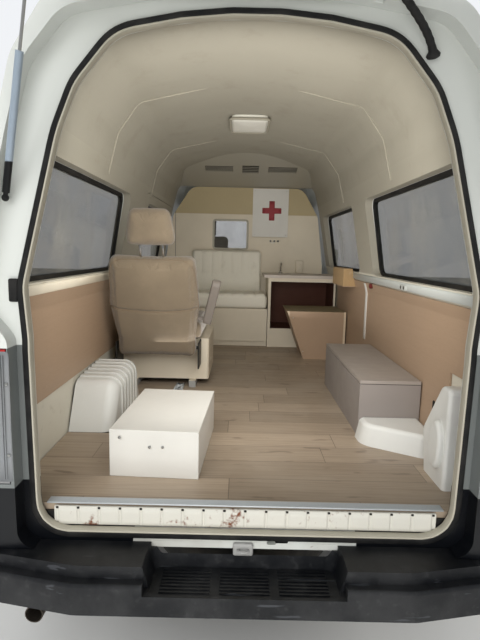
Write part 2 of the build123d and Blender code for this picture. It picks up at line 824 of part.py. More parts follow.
# Ball studs that the gas struts' rods end at
with BuildPart() as gate_studs:
    for side in (1, -1):
        stud_y = STRUT_GATE_END[1]
        add(block((232, 272), (side * (stud_y - 20), side * (stud_y - 14)), (2036, 2064)))
        add(drum(STRUT_GATE_END[0], STRUT_GATE_END[2], 4, (side * (stud_y - 15), side * (stud_y - 10.5))))
with BuildPart() as gate_closed:
    add(across(GATE_OUTLINE, start=0, length=450))
    add(profile_slab(0, GATE_SKIN), mode=Mode.INTERSECT)
    add(gate_inner_panel.part)
    add(OUTSIDE, mode=Mode.INTERSECT)
    extrude(gate_window, amount=450, mode=Mode.SUBTRACT)
    add(common(profile_slab(0, 6), block(GATE_SPACE, (-280, 280), (790, 925))), mode=Mode.SUBTRACT)
    add(common(profile_slab(-12, 2), block((0, 450), (-330, 330), (940, 972))))
    add(gate_arms.part)
    add(gate_studs.part)
with BuildPart() as gate_glass_closed:
    extrude(rounded(mirrored(GATE_WINDOW), Plane.YZ.offset(st(0)), -GLASS_SET_IN), amount=450)
    add(GLASS_LAYER, mode=Mode.INTERSECT)
with BuildPart() as gate_rubber_closed:
    extrude(gate_window, amount=450)
    extrude(rounded(mirrored(GATE_WINDOW), Plane.YZ.offset(st(-5)), -RUBBER_WIDTH), amount=460,
            mode=Mode.SUBTRACT)
    add(RUBBER_LAYER, mode=Mode.INTERSECT)
    add(gate_glass_closed.part, mode=Mode.SUBTRACT)
    add(gate_closed.part)
with BuildPart() as tailgate:
    add(gate_rubber_closed.part.rotate(GATE_AXIS, GATE_OPEN))
write(tailgate, "tailgate")
with BuildPart() as tailgate_glass:
    add(gate_glass_closed.part.rotate(GATE_AXIS, GATE_OPEN))
write(tailgate_glass, "tailgate_glass")


def gate_point(point, angle):
    """A point of the closed tailgate after it has opened by an angle."""
    forward = point[0] - GATE_HINGE[0]
    up = point[2] - GATE_HINGE[1]
    turn = radians(angle)
    return (
        GATE_HINGE[0] + forward * cos(turn) + up * sin(turn),
        point[1],
        GATE_HINGE[1] - forward * sin(turn) + up * cos(turn),
    )


# Gas struts: a cylinder on the corner pillar and a rod that reaches the tailgate's ball stud
open_end = gate_point(STRUT_GATE_END, GATE_OPEN)
open_length = hypot(*[a - b for a, b in zip(open_end, STRUT_BODY_END)])
BALL_RADIUS = 11
TUBE_RADIUS = 11
ROD_RADIUS = 4.5
ROD_BALL_RADIUS = 9
for name, side in SIDES.items():
    foot = Vector(st(STRUT_BODY_END[0]), side * STRUT_BODY_END[1], STRUT_BODY_END[2])
    head = Vector(st(open_end[0]), side * open_end[1], open_end[2])
    strut_plane = Plane(origin=foot, z_dir=head - foot)
    with BuildPart() as strut_cylinder:
        with BuildSketch(strut_plane.offset(5)):
            Circle(7)
        extrude(amount=15)
        with BuildSketch(strut_plane.offset(16)):
            Circle(TUBE_RADIUS)
        extrude(amount=STRUT_CYLINDER - 16)
        with BuildSketch(strut_plane.offset(STRUT_CYLINDER - 240)):
            Circle(ROD_RADIUS + 0.1)
        extrude(amount=260, mode=Mode.SUBTRACT)
        with Locations(foot):
            Sphere(BALL_RADIUS)
    write(strut_cylinder, f"{name}_strut_cylinder")
    with BuildPart() as strut_rod:
        with BuildSketch(strut_plane.offset(STRUT_CYLINDER - 12)):
            Circle(ROD_RADIUS)
        extrude(amount=open_length - STRUT_CYLINDER - 2)
        with Locations(head - (head - foot).normalized() * 6):
            Sphere(ROD_BALL_RADIUS)
    write(strut_rod, f"{name}_strut_rod")

# Rear bumper: a wrap-round moulding with a ledge along its top and a treaded step in the middle
BODY_CORNERS = layer(OUTSIDE, block((0, BUMPER_BACK), (-698, 698), (300, 545)))
with BuildPart() as rear_bumper:
    extrude(rounded(stationed(BUMPER_PLAN_REAR), Plane.XY.offset(BUMPER_LOW)),
            amount=BUMPER_LEDGE - BUMPER_LOW)
    fillet(rear_bumper.faces().sort_by(Axis.Z)[-1].edges().group_by(Axis.X)[0], 10)
    extrude(rounded(stationed(BUMPER_PLAN_REAR), Plane.XY.offset(BUMPER_LEDGE - 2), -LEDGE_SET_BACK),
            amount=BUMPER_HIGH - BUMPER_LEDGE + 2)
    add(block((BUMPER_BACK, 700), (-772, 772), (BUMPER_LOW - 5, 700)), mode=Mode.SUBTRACT)
    add(block((45, 200), (-690, 690), (BUMPER_LOW - 5, STEP_FLOOR - 18)), mode=Mode.SUBTRACT)
    with BuildSketch(Plane.XY.offset(STEP_FLOOR)):
        with Locations((st((STEP_RIM + 153) / 2), 0)):
            RectangleRounded(153 - STEP_RIM, 2 * STEP_HALF_WIDTH, 24)
    extrude(amount=BUMPER_HIGH - STEP_FLOOR + 5, taper=STEP_DRAFT, mode=Mode.SUBTRACT)
    step_y = (-STEP_HALF_WIDTH - 14, STEP_HALF_WIDTH + 14)
    add(block((-5, 40), step_y, (STEP_FLOOR + 8, BUMPER_HIGH + 5)), mode=Mode.SUBTRACT)
    add(block((150, 200), step_y, (522, BUMPER_HIGH + 5)), mode=Mode.SUBTRACT)
    for middle in TREAD_FIELDS:
        with BuildSketch(Plane.XY.offset(STEP_FLOOR - 1)):
            with Locations((st(84), middle)):
                with GridLocations(TREAD_PITCH, 0, TREAD_RIBS, 1):
                    RectangleRounded(6, TREAD_LENGTH, 2.9)
        extrude(amount=5)
    add(BODY_CORNERS, mode=Mode.SUBTRACT)
write(rear_bumper, "rear_bumper")

with BuildPart() as bumper_arches:
    for side in (1, -1):
        add(drum(FRONT_AXLE, TYRE_RADIUS, ARCH_RADIUS + LIP_WIDTH + 6, (side * 500, side * 1000)))
plate_width, plate_low, plate_high = PLATE_RECESS
intake_width, intake_low, intake_high = AIR_INTAKE
with BuildPart() as front_bumper:
    extrude(rounded(stationed(BUMPER_PLAN_FRONT), Plane.XY.offset(300)), amount=290)
    fillet(front_bumper.faces().sort_by(Axis.Z)[-1].edges().group_by(Axis.X)[-1], 14)
    extrude(rounded([(st(4300), -800, 0), (st(4300), 800, 0), (st(4870), 700, 200), (st(4870), -700, 200)],
                    Plane.XY.offset(295)), amount=300, mode=Mode.SUBTRACT)
    add(block((4978, 5000), (-plate_width, plate_width), (plate_low, plate_high)), mode=Mode.SUBTRACT)
    add(block((4945, 5000), (-intake_width, intake_width), (intake_low, intake_high)), mode=Mode.SUBTRACT)
    for y in (-165, 0, 165):
        add(block((4940, 4984), (y - 7, y + 7), (intake_low - 1, intake_high + 1)))
    add(OUTSIDE, mode=Mode.SUBTRACT)
    add(bumper_arches.part, mode=Mode.SUBTRACT)
write(front_bumper, "front_bumper")


# Floor pan: load floor pressing with rear wheelhouses and sill, cab floor with its seat riser
def wheelhouse(radius, inner):
    """Half round housing over a left rear wheel, from y = inner to the body side."""
    return layer(drum(REAR_AXLE, TYRE_RADIUS, radius, (inner, 797)), block((0, 3000), (0, 1000), (-200, 600)))


with BuildPart() as sill_space:
    add(block((195, FRAME_DEPTH + 5), (-700, 700), (500, FLOOR_TOP)))
    add(across(OPENING_OUTLINE, start=0, length=FRAME_DEPTH + 100), mode=Mode.INTERSECT)
# Cab floor as boxes: stations, y, heights
CAB_FLOOR_BOXES = [
    ((3400, 4270), (-745, 745), (CAB_FLOOR - SHEET, CAB_FLOOR)),
    ((4252, 4270), (-745, 745), (612, 940)),
    ((4262, 4760), (-745, 745), (FLOOR_PAN_BOTTOM, FLOOR_PAN_TOP)),
    ((4700, 4718), (-700, 700), (610, 900)),
    ((3399, 3418), (-745, 745), (FLOOR_PAN_BOTTOM, 940)),
    ((3410, 4262), (436, 442), (FLOOR_PAN_BOTTOM, 940)),
    ((3410, 4262), (-442, -436), (FLOOR_PAN_BOTTOM, 940)),
]
with BuildPart() as floor_pan:
    add(block((FLOOR_START, 3400), (-788, 788), (FLOOR_PAN_BOTTOM, FLOOR_PAN_TOP)))
    add(common(sill_space.part, block((0, 400), (-700, 700), (0, FLOOR_PAN_TOP))))
    for side in (1, -1):
        add(sided(wheelhouse(WHEELHOUSE_RADIUS, WHEELHOUSE_INNER), side))
        add(sided(wheelhouse(WHEELHOUSE_RADIUS - 8, WHEELHOUSE_INNER + 8), side), mode=Mode.SUBTRACT)
        well_y = (side * (WHEELHOUSE_INNER + 8), side * 800)
        add(block((REAR_AXLE - 300, REAR_AXLE + 300), well_y, (590, 620)), mode=Mode.SUBTRACT)
    for stations, y, z in CAB_FLOOR_BOXES:
        add(block(stations, y, z))
write(floor_pan, "floor_pan")

with BuildPart() as load_floor:
    add(block((FLOOR_START, BULKHEAD), (-790, 790), (FLOOR_PAN_TOP, FLOOR_TOP)))
    add(common(sill_space.part, block((210, 400), (-700, 700), (FLOOR_PAN_TOP, FLOOR_TOP))))
    for side in (1, -1):
        add(block((820, 1460), (side * 600, side * 900), (600, 700)), mode=Mode.SUBTRACT)
write(load_floor, "load_floor")

# Ladder frame: channel rails open outwards, with members between and beyond them
with BuildPart() as frame_rails:
    for side in (1, -1):
        add(block(RAIL_STATIONS, (side * RAIL_Y[0], side * RAIL_Y[1]), RAIL_Z))
        add(block((0, 5000), (side * (RAIL_Y[0] + RAIL_WALL), side * (RAIL_Y[1] + 1)),
                  (RAIL_Z[0] + RAIL_WALL, RAIL_Z[1] - RAIL_WALL)), mode=Mode.SUBTRACT)
write(frame_rails, "frame_rails")
with BuildPart() as frame_members:
    for station in CROSS_MEMBERS:
        add(block((station, station + MEMBER_WIDTH), (-RAIL_Y[0], RAIL_Y[0]), MEMBER_Z))
    for side in (1, -1):
        for station in OUTRIGGERS:
            arm_y = (side * (RAIL_Y[0] + RAIL_WALL), side * OUTRIGGER_END)
            add(block((station, station + MEMBER_WIDTH), arm_y, OUTRIGGER_Z))
        for station in JACKING_PADS:
            add(block((station, station + 80), (side * JACKING_PAD_Y[0], side * JACKING_PAD_Y[1]),
                      (JACKING_PAD_Z, OUTRIGGER_Z[0] + 1)))
        for start, end in TOWING_LUGS:
            lug_y = (side * (RAIL_Y[0] + RAIL_WALL), side * TOWING_LUG_END)
            flange_top = RAIL_Z[0] + RAIL_WALL
            add(block((start, end), lug_y, (flange_top, flange_top + TOWING_LUG_THICKNESS)))
            with BuildSketch(Plane.XY.offset(flange_top)):
                with Locations((st((start + end) / 2), side * TOWING_EYE_Y)):
                    Circle(TOWING_EYE_RADIUS)
            extrude(amount=TOWING_LUG_THICKNESS, mode=Mode.SUBTRACT)
write(frame_members, "frame_members")

# Front suspension: cross beam with towers to the rails, and two wishbones a side
with BuildPart() as front_suspension:
    add(block((FRONT_AXLE - 50, FRONT_AXLE + 50), (-429, 429), (300, 380)))
    for side in (1, -1):
        for station in (FRONT_AXLE - 60, FRONT_AXLE + 20):
            add(block((station, station + 40), (side * 372, side * 429), (370, RAIL_Z[0])))
        add(block((FRONT_AXLE - 40, FRONT_AXLE + 40), (side * 400, side * 429), (230, 310)))
        add(block((FRONT_AXLE - 40, FRONT_AXLE + 40), (side * 425, side * 446), (340, 478)))
        add(block((FRONT_AXLE - 40, FRONT_AXLE + 40), (side * 150, side * 230), (379, 390)))
        for low, inner in ((212, 400), (456, 432)):
            with BuildSketch(Plane.XY.offset(low)):
                arm = [(-110, inner), (110, inner), (22, 690), (-22, 690)]
                window = [(-62, inner + 30), (62, inner + 30), (0, 620)]
                Polygon(*[(st(FRONT_AXLE + a), side * b) for a, b in arm], align=None)
                Polygon(*[(st(FRONT_AXLE + a), side * b) for a, b in window], align=None, mode=Mode.SUBTRACT)
            extrude(amount=24)
    add(block((3700, 4100), (-431, 431), (RAIL_Z[0], 500)), mode=Mode.SUBTRACT)
write(front_suspension, "front_suspension")

with BuildPart() as engine:
    add(block((3480, 4180), (-290, 290), (390, 880)))
    chamfer(engine.edges(), 12)
write(engine, "engine")
with BuildPart() as fuel_tank:
    add(block((1950, 2650), (-735, -450), (370, 530)))
    fillet(fuel_tank.edges(), 25)
    for station in (2080, 2490):
        add(block((station, station + 30), (-640, -540), (528, FLOOR_PAN_BOTTOM)))
write(fuel_tank, "fuel_tank")
# Spare wheel under the rear floor, on its carrier's stem
with BuildPart() as spare_wheel:
    with BuildSketch(Plane.XY.offset(360)):
        with Locations((st(545), 0)):
            Circle(340)
            Circle(185, mode=Mode.SUBTRACT)
    extrude(amount=120)
    fillet(spare_wheel.edges().filter_by(GeomType.CIRCLE).sort_by(SortBy.RADIUS)[-2:], 35)
    add(pillar(545, 0, 186, (400, 415)))
    add(pillar(545, 0, 45, (390, 400)))
    add(pillar(545, 0, 12, (414, FLOOR_PAN_BOTTOM)))
write(spare_wheel, "spare_wheel")
# Exhaust: swept pipe, muffler and two hangers
with BuildPart() as exhaust:
    with BuildLine() as route:
        FilletPolyline(*[(st(s), y, z) for s, y, z in EXHAUST_ROUTE], radius=90)
    with BuildSketch(Plane(origin=route.line @ 0, z_dir=route.line % 0)):
        Circle(PIPE_RADIUS)
        Circle(PIPE_BORE, mode=Mode.SUBTRACT)
    sweep(path=route.line)
    with BuildSketch(Plane.YZ.offset(st(MUFFLER[0]))):
        with Locations((500, 430)):
            Circle(MUFFLER[2])
            Circle(PIPE_BORE, mode=Mode.SUBTRACT)
    extrude(amount=MUFFLER[1] - MUFFLER[0])
    add(block((2722, 2738), (492, 508), (495, OUTRIGGER_Z[0])))
    add(block((524, 536), (634, 646), (404, OUTRIGGER_Z[0])))
write(exhaust, "exhaust")


# Running gear
def spring_pack():
    """Left leaf spring: three cambered leaves under the axle tube, hung from the frame at both ends."""
    with BuildPart() as pack:
        for number, length in enumerate(LEAF_LENGTHS):
            with BuildSketch(Plane.XZ.offset(-SPRING_Y[0])):
                with Locations((st(REAR_AXLE), SPRING_LOW + LEAF_RADIUS)):
                    Circle(LEAF_RADIUS + number * LEAF)
                    Circle(LEAF_RADIUS + number * LEAF - LEAF, mode=Mode.SUBTRACT)
                with Locations((st(REAR_AXLE), SPRING_LOW)):
                    Rectangle(length, 200, mode=Mode.INTERSECT)
            extrude(amount=SPRING_Y[0] - SPRING_Y[1])
        add(block((REAR_AXLE - 45, REAR_AXLE + 45), (SPRING_Y[0] - 5, SPRING_Y[1] + 5), (270, 320)))
        for station in (REAR_AXLE - 620, REAR_AXLE + 590):
            add(block((station, station + 30), (SPRING_Y[0] - 8, SPRING_Y[1] + 8), (325, OUTRIGGER_Z[0] - 1)))
    return pack.part


with BuildPart() as rear_axle:
    add(drum(REAR_AXLE, TYRE_RADIUS, 38, (-600, 600)))
    with Locations((st(REAR_AXLE), 0, TYRE_RADIUS)):
        Sphere(130)
    for side in (1, -1):
        add(drum(REAR_AXLE, TYRE_RADIUS, SPINDLE_RADIUS, (side * 599, side * (WHEEL_TRACK + 20))))
        add(drum(REAR_AXLE, TYRE_RADIUS, 110, (side * 585, side * 600)))
        add(sided(spring_pack(), side))
    with BuildSketch(Plane.YZ.offset(st(REAR_AXLE + 120))):
        with Locations((0, 380)):
            Circle(38)
    extrude(amount=2200)
write(rear_axle, "rear_axle")

with BuildPart() as left_knuckle:
    add(pillar(FRONT_AXLE, KINGPIN, 24, (242, 450)))
    add(drum(FRONT_AXLE, TYRE_RADIUS, SPINDLE_RADIUS, (KINGPIN, WHEEL_TRACK + 20)))
    add(block((FRONT_AXLE - 135, FRONT_AXLE), (KINGPIN - 40, KINGPIN - 14), (270, 300)))
for name, side in SIDES.items():
    with BuildPart() as knuckle:
        add(sided(left_knuckle.part, side))
    write(knuckle, f"{name}_knuckle")


def wheel_point(side, outboard, radius):
    """Point of a wheel's section on the YZ plane through its axle."""
    return (side * (WHEEL_TRACK + outboard), TYRE_RADIUS + radius)


for place, (station, side) in WHEELS.items():
    wheel_axis = Axis((st(station), 0, TYRE_RADIUS), (0, 1, 0))
    wheel_plane = Plane.YZ.offset(st(station))
    with BuildPart() as tyre:
        with BuildSketch(wheel_plane):
            with BuildLine():
                FilletPolyline(*[wheel_point(side, w, r) for w, r, f in TYRE_PROFILE],
                               radius=[f for w, r, f in TYRE_PROFILE], close=True)
            make_face()
        revolve(axis=wheel_axis)
    write(tyre, f"{place}_tyre")
    with BuildPart() as rim:
        with BuildSketch(wheel_plane):
            with BuildLine():
                Polyline(*[wheel_point(side, w, r) for w, r in RIM_PROFILE], close=True)
            make_face()
        revolve(axis=wheel_axis)
        with BuildSketch(Plane.XZ.offset(-side * (WHEEL_TRACK - 60))):
            with Locations((st(station), TYRE_RADIUS)):
                with PolarLocations(118, WHEEL_HOLES):
                    Circle(17)
        extrude(amount=-side * 160, mode=Mode.SUBTRACT)
    write(rim, f"{place}_rim")

# Bulkhead with its window, seam, white board and socket strip
board_y, board_z = CROSS_BOARD
strip_y, strip_z = SOCKET_STRIP
with BuildPart() as bulkhead:
    extrude(rounded(BULKHEAD_OUTLINE, Plane.YZ.offset(st(BULKHEAD))), amount=BULKHEAD_THICKNESS)
    add(block((BULKHEAD - 50, BULKHEAD + 50), *BULKHEAD_WINDOW), mode=Mode.SUBTRACT)
    seam_z = (BULKHEAD_SEAM, BULKHEAD_SEAM + 4)
    add(block((BULKHEAD - 5, BULKHEAD + 2), (-800, 800), seam_z), mode=Mode.SUBTRACT)
    add(block((BULKHEAD - 12, BULKHEAD + 2), board_y, board_z))
    add(block((BULKHEAD - 20, BULKHEAD + 2), strip_y, strip_z))
write(bulkhead, "bulkhead")

# Trim boards that follow the walls, cut clear of the wheelhouses, and the small wall box
with BuildPart() as wheel_space:
    for side in (1, -1):
        add(drum(REAR_AXLE, TYRE_RADIUS, WHEELHOUSE_RADIUS + 2, (side * 600, side * 900)))
# Trim fields: stations, y, heights, distances of the back and the face from the wall
TRIM_FIELDS = [
    ((395, 2110), (0, 900), (868, 1285), 1, 9),
    ((580, 2900), (-900, 0), (650, 1275), 1, 9),
    ((345, 585), (-900, 0), (1010, 1275), 1, 9),
    ((1885, 1930), (-900, 0), (905, 1275), 8, 13),
]
with BuildPart() as trim_panels:
    for stations, y, z, back, face in TRIM_FIELDS:
        add(common(band(INNER_SECTION, -back, -face, stations), block(stations, y, z)))
    add(wheel_space.part, mode=Mode.SUBTRACT)
    add(common(across(INNER_SECTION, -1), block((2240, 2640), (-800, -700), (1220, 1350))))
write(trim_panels, "trim_panels")

# Ceiling fittings: lamp, and overhead housing with vents in its sloping face
slope_run = HOUSING_WEDGE[1][0] - HOUSING_WEDGE[0][0]
slope_drop = HOUSING_WEDGE[0][1] - HOUSING_WEDGE[1][1]
vent_height = HOUSING_WEDGE[0][1] - slope_drop * (VENT_STATION - HOUSING_WEDGE[0][0]) / slope_run
vent_plane = Plane(origin=(st(VENT_STATION), 0, vent_height), x_dir=(0, 1, 0),
                   z_dir=(-slope_drop, 0, -slope_run))
with BuildPart() as ceiling_fittings:
    with BuildSketch(Plane.XZ.offset(-800)):
        Polygon(*[(st(s), z) for s, z in HOUSING_WEDGE], align=None)
    extrude(amount=1600)
    with BuildSketch(vent_plane):
        for middle, width, length in VENTS:
            with Locations((middle, 0)):
                Rectangle(width, length)
    extrude(amount=-22, mode=Mode.SUBTRACT)
    with BuildSketch(vent_plane.offset(-4)):
        for middle, width, length in VENTS:
            with Locations((middle, 0)):
                with GridLocations(0, length / VENT_SLATS, 1, VENT_SLATS):
                    Rectangle(width + 4, 6)
    extrude(amount=-10)
    with BuildSketch(Plane.XY.offset(2198)):
        with Locations((st(1785), 0)):
            RectangleRounded(300, 210, 30)
    extrude(amount=60)
    add(hollow.part, mode=Mode.INTERSECT)
write(ceiling_fittings, "ceiling_fittings")

# Bench across the bulkhead, and the cabinet beside it
with BuildPart() as bench_base:
    add(block((2920, BULKHEAD), (-200, 510), (FLOOR_TOP, 968)))
    add(block((2915, 2945), (-210, 520), (FLOOR_TOP, FLOOR_TOP + 45)), mode=Mode.SUBTRACT)
write(bench_base, "bench_base")
with BuildPart() as bench_cushions:
    add(block((2905, BULKHEAD - 90), (-195, 505), (969, 1100)))
    add(block((BULKHEAD - 86, BULKHEAD - 14), (-150, 485), (1062, 1462)))
    fillet(bench_cushions.edges(), 22)
write(bench_cushions, "bench_cushions")
with BuildPart() as side_cabinet:
    add(block((2920, BULKHEAD), (-780, -205), (FLOOR_TOP, 1240)))
    add(block((2900, 3300), (-764, -228), (803, 1206)), mode=Mode.SUBTRACT)
    add(block((2900, BULKHEAD), (-780, -168), (1238, 1262)))
write(side_cabinet, "side_cabinet")

# Loose boxes on the floor: boards seen as butt joints
with BuildPart() as slanted_box:
    with BuildSketch(Plane.YZ.offset(st(SLANTED_STATIONS[0]))):
        Polygon(*SLANTED_BOX, align=None)
    extrude(amount=SLANTED_STATIONS[1] - SLANTED_STATIONS[0])
    with BuildSketch(Plane.YZ.offset(st(SLANTED_STATIONS[0]))):
        Polygon(*SLANTED_BOX, align=None)
        offset(amount=-BOARD, mode=Mode.REPLACE, kind=Kind.INTERSECTION)
    extrude(amount=3, mode=Mode.SUBTRACT)
write(slanted_box, "slanted_box")
with BuildPart() as white_box:
    along_box = (cos(WHITE_BOX_YAW), -sin(WHITE_BOX_YAW), 0)
    with BuildSketch(Plane(origin=(st(660), 317, FLOOR_TOP), x_dir=along_box)):
        Rectangle(530, 324)
    extrude(amount=176)
    chamfer(white_box.edges(), 1.5)
write(white_box, "white_box")
with BuildPart() as panel_locker:
    add(block((850, 1740), (-784, -512), (FLOOR_TOP, 899)))
    add(block((865, 1725), (-900, -527), (600, 884)), mode=Mode.SUBTRACT)
    add(block((848, 1742), (-516, -510), (880, 884)), mode=Mode.SUBTRACT)
write(panel_locker, "panel_locker")


def arch_cover(grow):
    """Outer form of the left wheelhouse's cover, grown by an amount."""
    with BuildPart() as solid:
        add(sideways(ARCH_COVER, grow, near=ARCH_COVER_INNER - grow, far=900))
        inner_edges = solid.edges().filter_by(GeomType.LINE).group_by(Axis.Y)[0]
        fillet(inner_edges.sort_by(Axis.Z)[-3:], 55 + grow)
    return common(solid.part, block((700, 1600), (500, 788), (FLOOR_TOP, 1000)))


# Ribbed cover over the left wheelhouse, smooth mouldings in the right rear corner
with BuildPart() as arch_ribs:
    for station in ARCH_COVER_RIBS:
        add(block((station, station + RIB_WIDTH), (500, 788), (FLOOR_TOP, 1000)))
with BuildPart() as wheel_cover:
    add(arch_cover(0))
    add(common(arch_cover(RIB_PROUD), arch_ribs.part))
    add(common(arch_cover(-9), block((821, 1463), (500, 900), (FLOOR_TOP, 1000))), mode=Mode.SUBTRACT)
with BuildPart() as floor_moulding:
    extrude(rounded(stationed(FLOOR_MOULDING), Plane.XY.offset(FLOOR_TOP)), amount=90, taper=12)
    fillet(floor_moulding.faces().sort_by(Axis.Z)[-1].edges(), 22)
    add(block((500, 848), (-784, -400), (FLOOR_TOP, 800)), mode=Mode.INTERSECT)
with BuildPart() as corner_moulding:
    add(sideways(CORNER_MOULDING, near=-784, far=-690))
    fillet(corner_moulding.faces().sort_by(Axis.Y)[-1].edges().sort_by(Axis.Z)[1:], 14)
    with BuildSketch(Plane.XZ.offset(694)):
        with Locations((st(CORNER_BOSS[0]), CORNER_BOSS[1])):
            Ellipse(46, 88)
    extrude(amount=-24)
    fillet(corner_moulding.faces().sort_by(Axis.Y)[-1].edges(), 12)
with BuildPart() as moulded_covers:
    add(wheel_cover.part)
    add(floor_moulding.part)
    add(corner_moulding.part)
write(moulded_covers, "moulded_covers")

# Attendant seat: slotted plinth on floor rails, with ears that carry the back's pins
back_base = SEAT_BACK_HALF[0][0]
ear_gap = back_base + 6
with BuildPart() as seat_plinth:
    add(block((1640, 2150), (215, 760), (FLOOR_TOP + 40, 930)))
    fillet(seat_plinth.edges().filter_by(Axis.Z), 20)
    for y in ((290, 330), (640, 680)):
        add(block((1590, 2180), y, (FLOOR_TOP, FLOOR_TOP + 41)))
    for low in (760, 850):
        add(block((1720, 1890), (210, 221), (low, low + 14)), mode=Mode.SUBTRACT)
    for side in (1, -1):
        ear_y = (SEAT_CENTRE + side * ear_gap, SEAT_CENTRE + side * (ear_gap + 8))
        add(block((SEAT_PIVOT[0] - 26, 1665), ear_y, (780, 928)))
        pin_y = (SEAT_CENTRE + side * (ear_gap - 14), SEAT_CENTRE + side * (ear_gap + 4))
        add(drum(*SEAT_PIVOT, SEAT_PIN, pin_y))
write(seat_plinth, "seat_plinth")
with BuildPart() as seat_cushion:
    with BuildSketch(Plane.XY.offset(931)):
        with Locations((st(1860), 497)):
            RectangleRounded(580, 480, 60)
    extrude(amount=110)
    fillet(seat_cushion.faces().sort_by(Axis.Z)[-1].edges(), 30)
write(seat_cushion, "seat_cushion")
back_height = SEAT_BACK_HALF[-1][1]
rest_width, rest_height, rest_depth = HEAD_RESTRAINT
lean = radians(SEAT_RECLINE)
back_foot = SEAT_PIVOT[0] + (SEAT_PIVOT[1] - SEAT_BACK_LOW) * sin(lean) / cos(lean)
back_plane = Plane(origin=(st(back_foot), SEAT_CENTRE, SEAT_BACK_LOW), x_dir=(0, 1, 0),
                   z_dir=(cos(lean), 0, sin(lean)))
with BuildPart() as seat_back:
    extrude(rounded(mirrored(SEAT_BACK_HALF), back_plane), amount=SEAT_BACK_DEPTH / 2, both=True)
    fillet(seat_back.edges(), 20)
with BuildPart() as head_restraint:
    with BuildSketch(back_plane):
        with Locations((0, back_height + 50 + rest_height / 2)):
            RectangleRounded(rest_width, rest_height, 50)
    extrude(amount=rest_depth / 2, both=True)
    fillet(head_restraint.edges(), 20)
with BuildPart() as whole_back:
    add(seat_back.part)
    add(head_restraint.part)
    with BuildSketch(back_plane):
        with Locations((-60, back_height + 25), (60, back_height + 25)):
            Rectangle(12, 90)
    extrude(amount=6, both=True)
    for side in (1, -1):
        edge = SEAT_CENTRE + side * back_base
        add(drum(*SEAT_PIVOT, SEAT_PIN + PIN_CLEARANCE, (edge - side * 12, edge + side)), mode=Mode.SUBTRACT)
    inner_edge = SEAT_CENTRE - 241
    add(drum(*ARMREST_PIVOT, SEAT_PIN + PIN_CLEARANCE, (inner_edge - 20, inner_edge + 16)),
        mode=Mode.SUBTRACT)
write(whole_back, "seat_back")

# Armrest, raised beside the back and splayed inwards, on a pin in the back's side
armrest_centre = (st(ARMREST_PIVOT[0]), ARMREST_MIDDLE, ARMREST_PIVOT[1])
arm_length, arm_width, arm_thickness = ARMREST_SIZE
with BuildPart() as armrest_upright:
    with BuildSketch(Plane.XZ.offset(arm_thickness / 2 - ARMREST_MIDDLE)):
        with Locations((st(ARMREST_PIVOT[0]), ARMREST_PIVOT[1] + arm_length / 2 - arm_width / 2)):
            SlotOverall(arm_length, arm_width, rotation=90)
    extrude(amount=-arm_thickness)
    fillet(armrest_upright.edges(), 10)
armrest_lean = Axis(armrest_centre, (0, 1, 0))
armrest_turn = Axis(armrest_centre, (1, 0, 0))
with BuildPart() as armrest:
    add(armrest_upright.part.rotate(armrest_turn, ARMREST_SPLAY).rotate(armrest_lean, -SEAT_RECLINE))
    add(drum(*ARMREST_PIVOT, SEAT_PIN, (ARMREST_MIDDLE, inner_edge + 12)))
write(armrest, "armrest")

# Cab fittings
wheel_tilt = radians(STEERING_TILT)
steering_plane = Plane(origin=(st(STEERING_WHEEL[0]), STEERING_WHEEL[1], STEERING_WHEEL[2]),
                       x_dir=(0, 1, 0), z_dir=(-sin(wheel_tilt), 0, cos(wheel_tilt)))
DASH_PROFILE = [(4690, 780, 0), (4560, 800, 30), (4440, 1010, 40), (4450, 1120, 40), (4690, 1105, 0)]
with BuildPart() as dashboard:
    extrude(rounded(stationed(DASH_PROFILE), Plane.XZ.offset(-735)), amount=1470)
    with BuildSketch(Plane.YZ.offset(st(4455))):
        with Locations((STEERING_WHEEL[1], 1090)):
            Circle(150)
    extrude(amount=120)
    add(room.part, mode=Mode.INTERSECT)
    add(block((4680, 4800), (-745, 745), (700, 1200)), mode=Mode.SUBTRACT)
    add(block((4430, 4462), (180, 560), (900, 990)), mode=Mode.SUBTRACT)
    with BuildSketch(steering_plane.offset(-60)):
        Circle(34)
    extrude(amount=-200)
    with BuildSketch(steering_plane.offset(-60)):
        Circle(16.1)
    extrude(amount=-90, mode=Mode.SUBTRACT)
write(dashboard, "dashboard")
with BuildPart() as steering_wheel:
    with Locations(steering_plane):
        Torus(STEERING_RADIUS, 13)
    with BuildSketch(steering_plane.offset(-9)):
        Rectangle(2 * STEERING_RADIUS, 34)
        Circle(62)
    extrude(amount=18)
    with BuildSketch(steering_plane):
        Circle(16)
    extrude(amount=-140)
write(steering_wheel, "steering_wheel")
# Cab seats: cushion, back and head restraint as station, height and width
CAB_SEAT_PARTS = [
    ((3560, 4080), (952, 1090), 500),
    ((3440, 3561), (952, 1580), 480),
    ((3460, 3530), (1579, 1760), 240),
]
with BuildPart() as cab_seats:
    for y in (-400, 400):
        for stations, z, width in CAB_SEAT_PARTS:
            with BuildSketch(Plane.YZ.offset(st(stations[0]))):
                with Locations((y, sum(z) / 2)):
                    RectangleRounded(width, z[1] - z[0], 34)
            extrude(amount=stations[1] - stations[0])
write(cab_seats, "cab_seats")

# Warning light bar: two feet, a base and a lens
with BuildPart() as light_bar:
    with BuildSketch(Plane.XY.offset(2300)):
        with Locations((st(3160), 0)):
            RectangleRounded(200, 1040, 60)
    extrude(amount=120)
    fillet(light_bar.faces().sort_by(Axis.Z)[-1].edges(), 30)
    for y in (-380, 380):
        add(block((3130, 3190), (y - 40, y + 40), (2250, 2302)))
    add(OUTSIDE, mode=Mode.SUBTRACT)
write(light_bar, "light_bar")
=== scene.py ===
"""Looks of a high-roof ambulance with its tailgate open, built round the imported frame."""
import math

